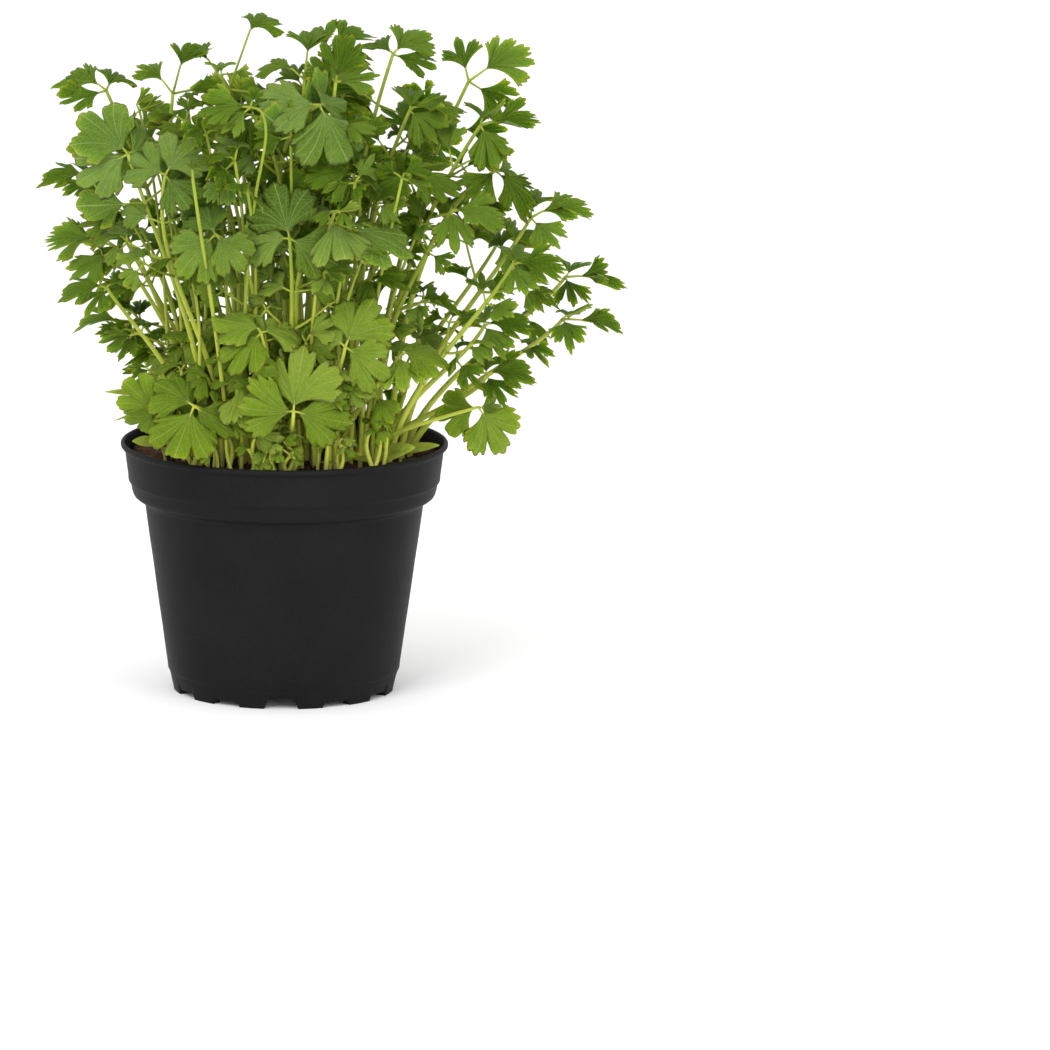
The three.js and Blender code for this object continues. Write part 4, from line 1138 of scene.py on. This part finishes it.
# What the solids leave out on a leafy stem: its lower pair and two side branches
def addSprigs(form, kind, path, face, draw, hasPair):
    height = path[-1][2]
    if not hasPair and height - sprig["pairBack"][1] > sprig["lowest"]:
        origin, heading = alongPath(path, draw.uniform(*sprig["pairBack"]))
        for yaw in (sprig["pairSpread"], -sprig["pairSpread"]):
            stalk = draw.uniform(*sprig["pairStalk"])
            blade = sprig["pairShare"] * draw.uniform(*sprig["pairBlade"])
            addFreeLeaflet(form, kind, blade, origin, heading, face, yaw, stalk, draw)
    back = draw.uniform(*sprig["branchBack"])
    if height - back > sprig["lowest"]:
        origin, heading = alongPath(path, back)
        turn = math.radians(draw.uniform(*sprig["turn"]))
        sideways = unit(np.cross(heading, face["look"]))
        other = np.cross(unit(heading), sideways)
        sideways = math.cos(turn) * sideways + math.sin(turn) * other
        for way in (1, -1):
            length = draw.uniform(*sprig["branchLength"])
            blade = draw.uniform(*sprig["blade"])
            outward = way * sprig["branchOut"] * sideways + sprig["branchUp"] * unit(heading)
            addBranch(form, kind, origin, outward, face, length, blade, draw)


# Young stems between the large ones, a few to a piece: heights, how far they lean out, lengths of
# blade, which way round the pot and how far from its axis they stand, and where low ones stop
young = {
    "low": {"kind": "broad", "pieces": 3, "each": 12, "height": (108, 150), "lean": (1.0, 1.35),
            "blade": (10, 15), "turn": (0, 360), "rooted": (10, 46), "nearRim": 54},
    "front": {"kind": "broad", "pieces": 2, "each": 11, "height": (108, 148), "lean": (1.0, 1.25),
              "blade": (11, 16), "turn": (185, 285), "rooted": (10, 46), "nearRim": 54},
    "high": {"kind": "cut", "pieces": 5, "each": 12, "height": (176, 236), "lean": (1.1, 1.75),
             "blade": (10, 15), "turn": (0, 360), "rooted": (10, 46), "nearRim": 54},
    "rim": {"kind": "broad", "pieces": 1, "each": 26, "height": (103, 117), "lean": (1.0, 1.06),
            "blade": (3.5, 7), "turn": (224, 316), "rooted": (49, 57), "nearRim": 59},
}
youngStem = {"lowHeight": 128, "farthest": 78, "out": (5, 14), "up": (4, 16), "bow": (-4, 4),
             "radius": (0.95, 0.6), "girth": (0.8, 1.1), "sides": 8, "ribs": 3, "ribDepth": 0.08,
             "lookOut": 0.7, "lookAcross": (-0.4, 0.4), "lookFront": (-0.4, 0.2), "lookUp": 0.75,
             "sky": (0.4, 0.9), "spread": (70, 92), "sideBlade": 0.9, "stalk": (1.5, 5)}


def buildYoungStems(materials):
    draw = random.Random(23)
    total = 0
    for name, plan in young.items():
        for group in range(plan["pieces"]):
            form = newForm()
            for _ in range(plan["each"]):
                addYoungStem(form, plan, draw)
            kindName = plan["kind"]
            pieceName = f"young_stems_{name}_{group + 1}"
            piece = makePiece(pieceName, form, materials[kindName], [])
            total += len(piece.data.polygons)
    print("young stems built:", total, "faces")


def addYoungStem(form, plan, draw):
    angle = math.radians(draw.uniform(*plan["turn"]))
    outward = np.array([math.cos(angle), math.sin(angle)])
    near, far = plan["rooted"]
    root = outward * math.sqrt(draw.uniform(near ** 2, far ** 2))
    height = draw.uniform(*plan["height"])
    spot = root * draw.uniform(*plan["lean"])
    limit = plan["nearRim"] if height < youngStem["lowHeight"] else youngStem["farthest"]
    spot *= min(1, limit / np.hypot(*spot))
    reach = np.array([*(outward * draw.uniform(*youngStem["out"])), draw.uniform(*youngStem["up"])])
    bow = np.array([draw.uniform(*youngStem["bow"]), draw.uniform(*youngStem["bow"])])
    path = stemPath(root, np.array([*spot, height]), reach, bow)[::2]
    radii = np.linspace(*youngStem["radius"], len(path)) * draw.uniform(*youngStem["girth"])
    addStem(form, path, radii, youngStem["sides"], draw.random(), youngStem["ribs"], youngStem["ribDepth"])
    aside = np.array([draw.uniform(*youngStem["lookAcross"]), draw.uniform(*youngStem["lookFront"])])
    look = (*(outward * youngStem["lookOut"] + aside), youngStem["lookUp"])
    face = {"look": look, "sky": draw.uniform(*youngStem["sky"])}
    blade = draw.uniform(*plan["blade"])
    addThreeLeaflets(form, leafKinds[plan["kind"]], blade, path[-1], reach, face, youngStem, draw)


# One stem that nods at its top: its course, then its leaflets' reaches with their lengths
noddingStem = {"course": [(-14, -30, 88), (-16, -36, 130), (-14, -44, 172), (-11, -48, 204),
                          (-7.5, -50, 221), (-6, -50, 232), (-8, -50, 240), (-12.5, -50, 241)],
               "radius": (0.8, 0.42), "sides": 10, "tone": 0.3,
               "leaflets": [((-1, -0.2, 0.1), 20), ((-0.7, -0.3, -0.6), 14), ((0.3, 0.1, 1), 7)]}


def smoothCourse(points, rounds=3):
    for _ in range(rounds):
        near = 0.75 * points[:-1] + 0.25 * points[1:]
        far = 0.25 * points[:-1] + 0.75 * points[1:]
        points = np.vstack([points[:1], np.stack([near, far], axis=1).reshape(-1, 3), points[-1:]])
    return points


def buildNoddingStem(materials):
    draw = random.Random(5)
    form = newForm()
    path = smoothCourse(np.array(noddingStem["course"], dtype=float))
    radii = np.linspace(*noddingStem["radius"], len(path))
    addStem(form, path, radii, noddingStem["sides"], noddingStem["tone"])
    face = looks["front"]
    for reach, length in noddingStem["leaflets"]:
        axes = leafletFrame(reach, face["look"])
        turned = bladeAxes(axes, face["sky"])
        addLeaflet(form, leafKinds["cut"], length, leaf["sideTeeth"], leaf["sideFan"], path[-1], axes,
                   turned, leaf["shortestStalk"], draw, bladeDetail["full"])
    makePiece("nodding_stem", form, materials["cut"], [])
    print("nodding stem built")


# Seedlings: root, top of the little stem, reach of the first plain leaf and its width, as in the
# source, and the reaches of the leaves beside it, which only the finer piece has
seedlings = [
    {"root": (-46, -22), "top": (-49, -25, 103), "reach": (-10, -3, 2), "width": 5.5,
     "beside": [(6, -5, -2)]},
    {"root": (36, -30), "top": (37, -33, 99), "reach": (14, -9, 7.5), "width": 9, "beside": [(-8, -6, 3)]},
    {"root": (46, -20), "top": (47, -23, 100), "reach": (14, -4, 4.5), "width": 5, "beside": []},
    {"root": (21, -42), "top": (23, -46, 100), "reach": (7, -5, 5), "width": 4, "beside": [(-6, -5, 3)]},
    {"root": (-45, -13), "top": (-52, -18, 121), "reach": (-18, -3, 3), "width": 3.2,
     "beside": [(-18, -4, -2)]},
]
seedStem = {"depth": 6, "points": 10, "radius": (0.75, 0.5), "sides": 8, "tone": 0.6,
            "besideAt": -3, "besideWidth": 0.8}
seedLeaf = {"columns": 24, "rows": 7, "droop": 0.12, "fold": 0.12, "wave": 0.15, "halfThickness": 0.2}


def buildSeedlings(materials):
    for index, seedling in enumerate(seedlings):
        form = newForm()
        root = seedling["root"]
        soilTop = soilHeight(*root)
        head = np.array(seedling["top"], dtype=float)
        foot = np.array([*root, soilTop - seedStem["depth"]])
        bend = np.array([*root, (soilTop + head[2]) / 2])
        path = bentPath(foot, bend, head, seedStem["points"])
        radii = np.linspace(*seedStem["radius"], len(path))
        addStem(form, path, radii, seedStem["sides"], seedStem["tone"])
        axes = leafletFrame(seedling["reach"], looks["frontUp"]["look"])
        addOval(form, head, axes, float(np.linalg.norm(seedling["reach"])), seedling["width"])
        for reach in seedling["beside"]:
            axes = leafletFrame(reach, looks["up"]["look"])
            width = seedStem["besideWidth"] * seedling["width"]
            addOval(form, path[seedStem["besideAt"]], axes, float(np.linalg.norm(reach)), width)
        number = f"{index + 1:02d}"
        makePiece("small_seedling_" + number, form, materials, ["seedling_" + number])
    print("seedlings built")


# A plain oval seed leaf, folded a little along its middle
def addOval(form, head, axes, long, width):
    across = np.linspace(-1, 1, seedLeaf["columns"] + 1)
    share = np.linspace(0, 1, seedLeaf["rows"] + 2)[1:][:, None]
    x = long * share * np.ones_like(across)
    half = 0.5 * width * np.sin(math.pi * np.minimum(share, 0.985) ** 0.85) ** 0.75
    y = half * across
    wave = seedLeaf["wave"] * np.sin(5 * share + across)
    z = -seedLeaf["droop"] * long * share ** 2 + seedLeaf["fold"] * np.abs(y) + wave
    middle = np.stack([x, y, z], axis=-1)
    body = seedLeaf["halfThickness"] * (1 - share ** 6) * (1 - np.abs(across) ** 4)
    maps = np.stack([1 + 0.5 * across * np.ones_like(share), share * np.ones_like(across)], axis=-1)
    addBlade(form, (middle, sheetOffsets(middle, body), maps), head, axes, seedStem["tone"])


setCamera()
setLights()
layFloor()
upperSkin = leafSkin("upper leaf", leafColours["upper"])
lowerSkin = leafSkin("lower leaf", leafColours["lower"], leafColours["high"])
underSkin = leafSkin("leaf underside", leafColours["under"], relief=-1)
seedSkin = leafSkin("seed leaf", leafColours["seed"])
stemFinish = stemSkin()
parsleySkins = {"cut": [upperSkin, underSkin, stemFinish], "broad": [lowerSkin, underSkin, stemFinish]}
buildPot(mottledSkin(potLook))
buildSoil(mottledSkin(soilLook))
buildLeafyStems(parsleySkins)
buildYoungStems(parsleySkins)
buildNoddingStem(parsleySkins)
buildSeedlings([seedSkin, seedSkin, stemFinish])
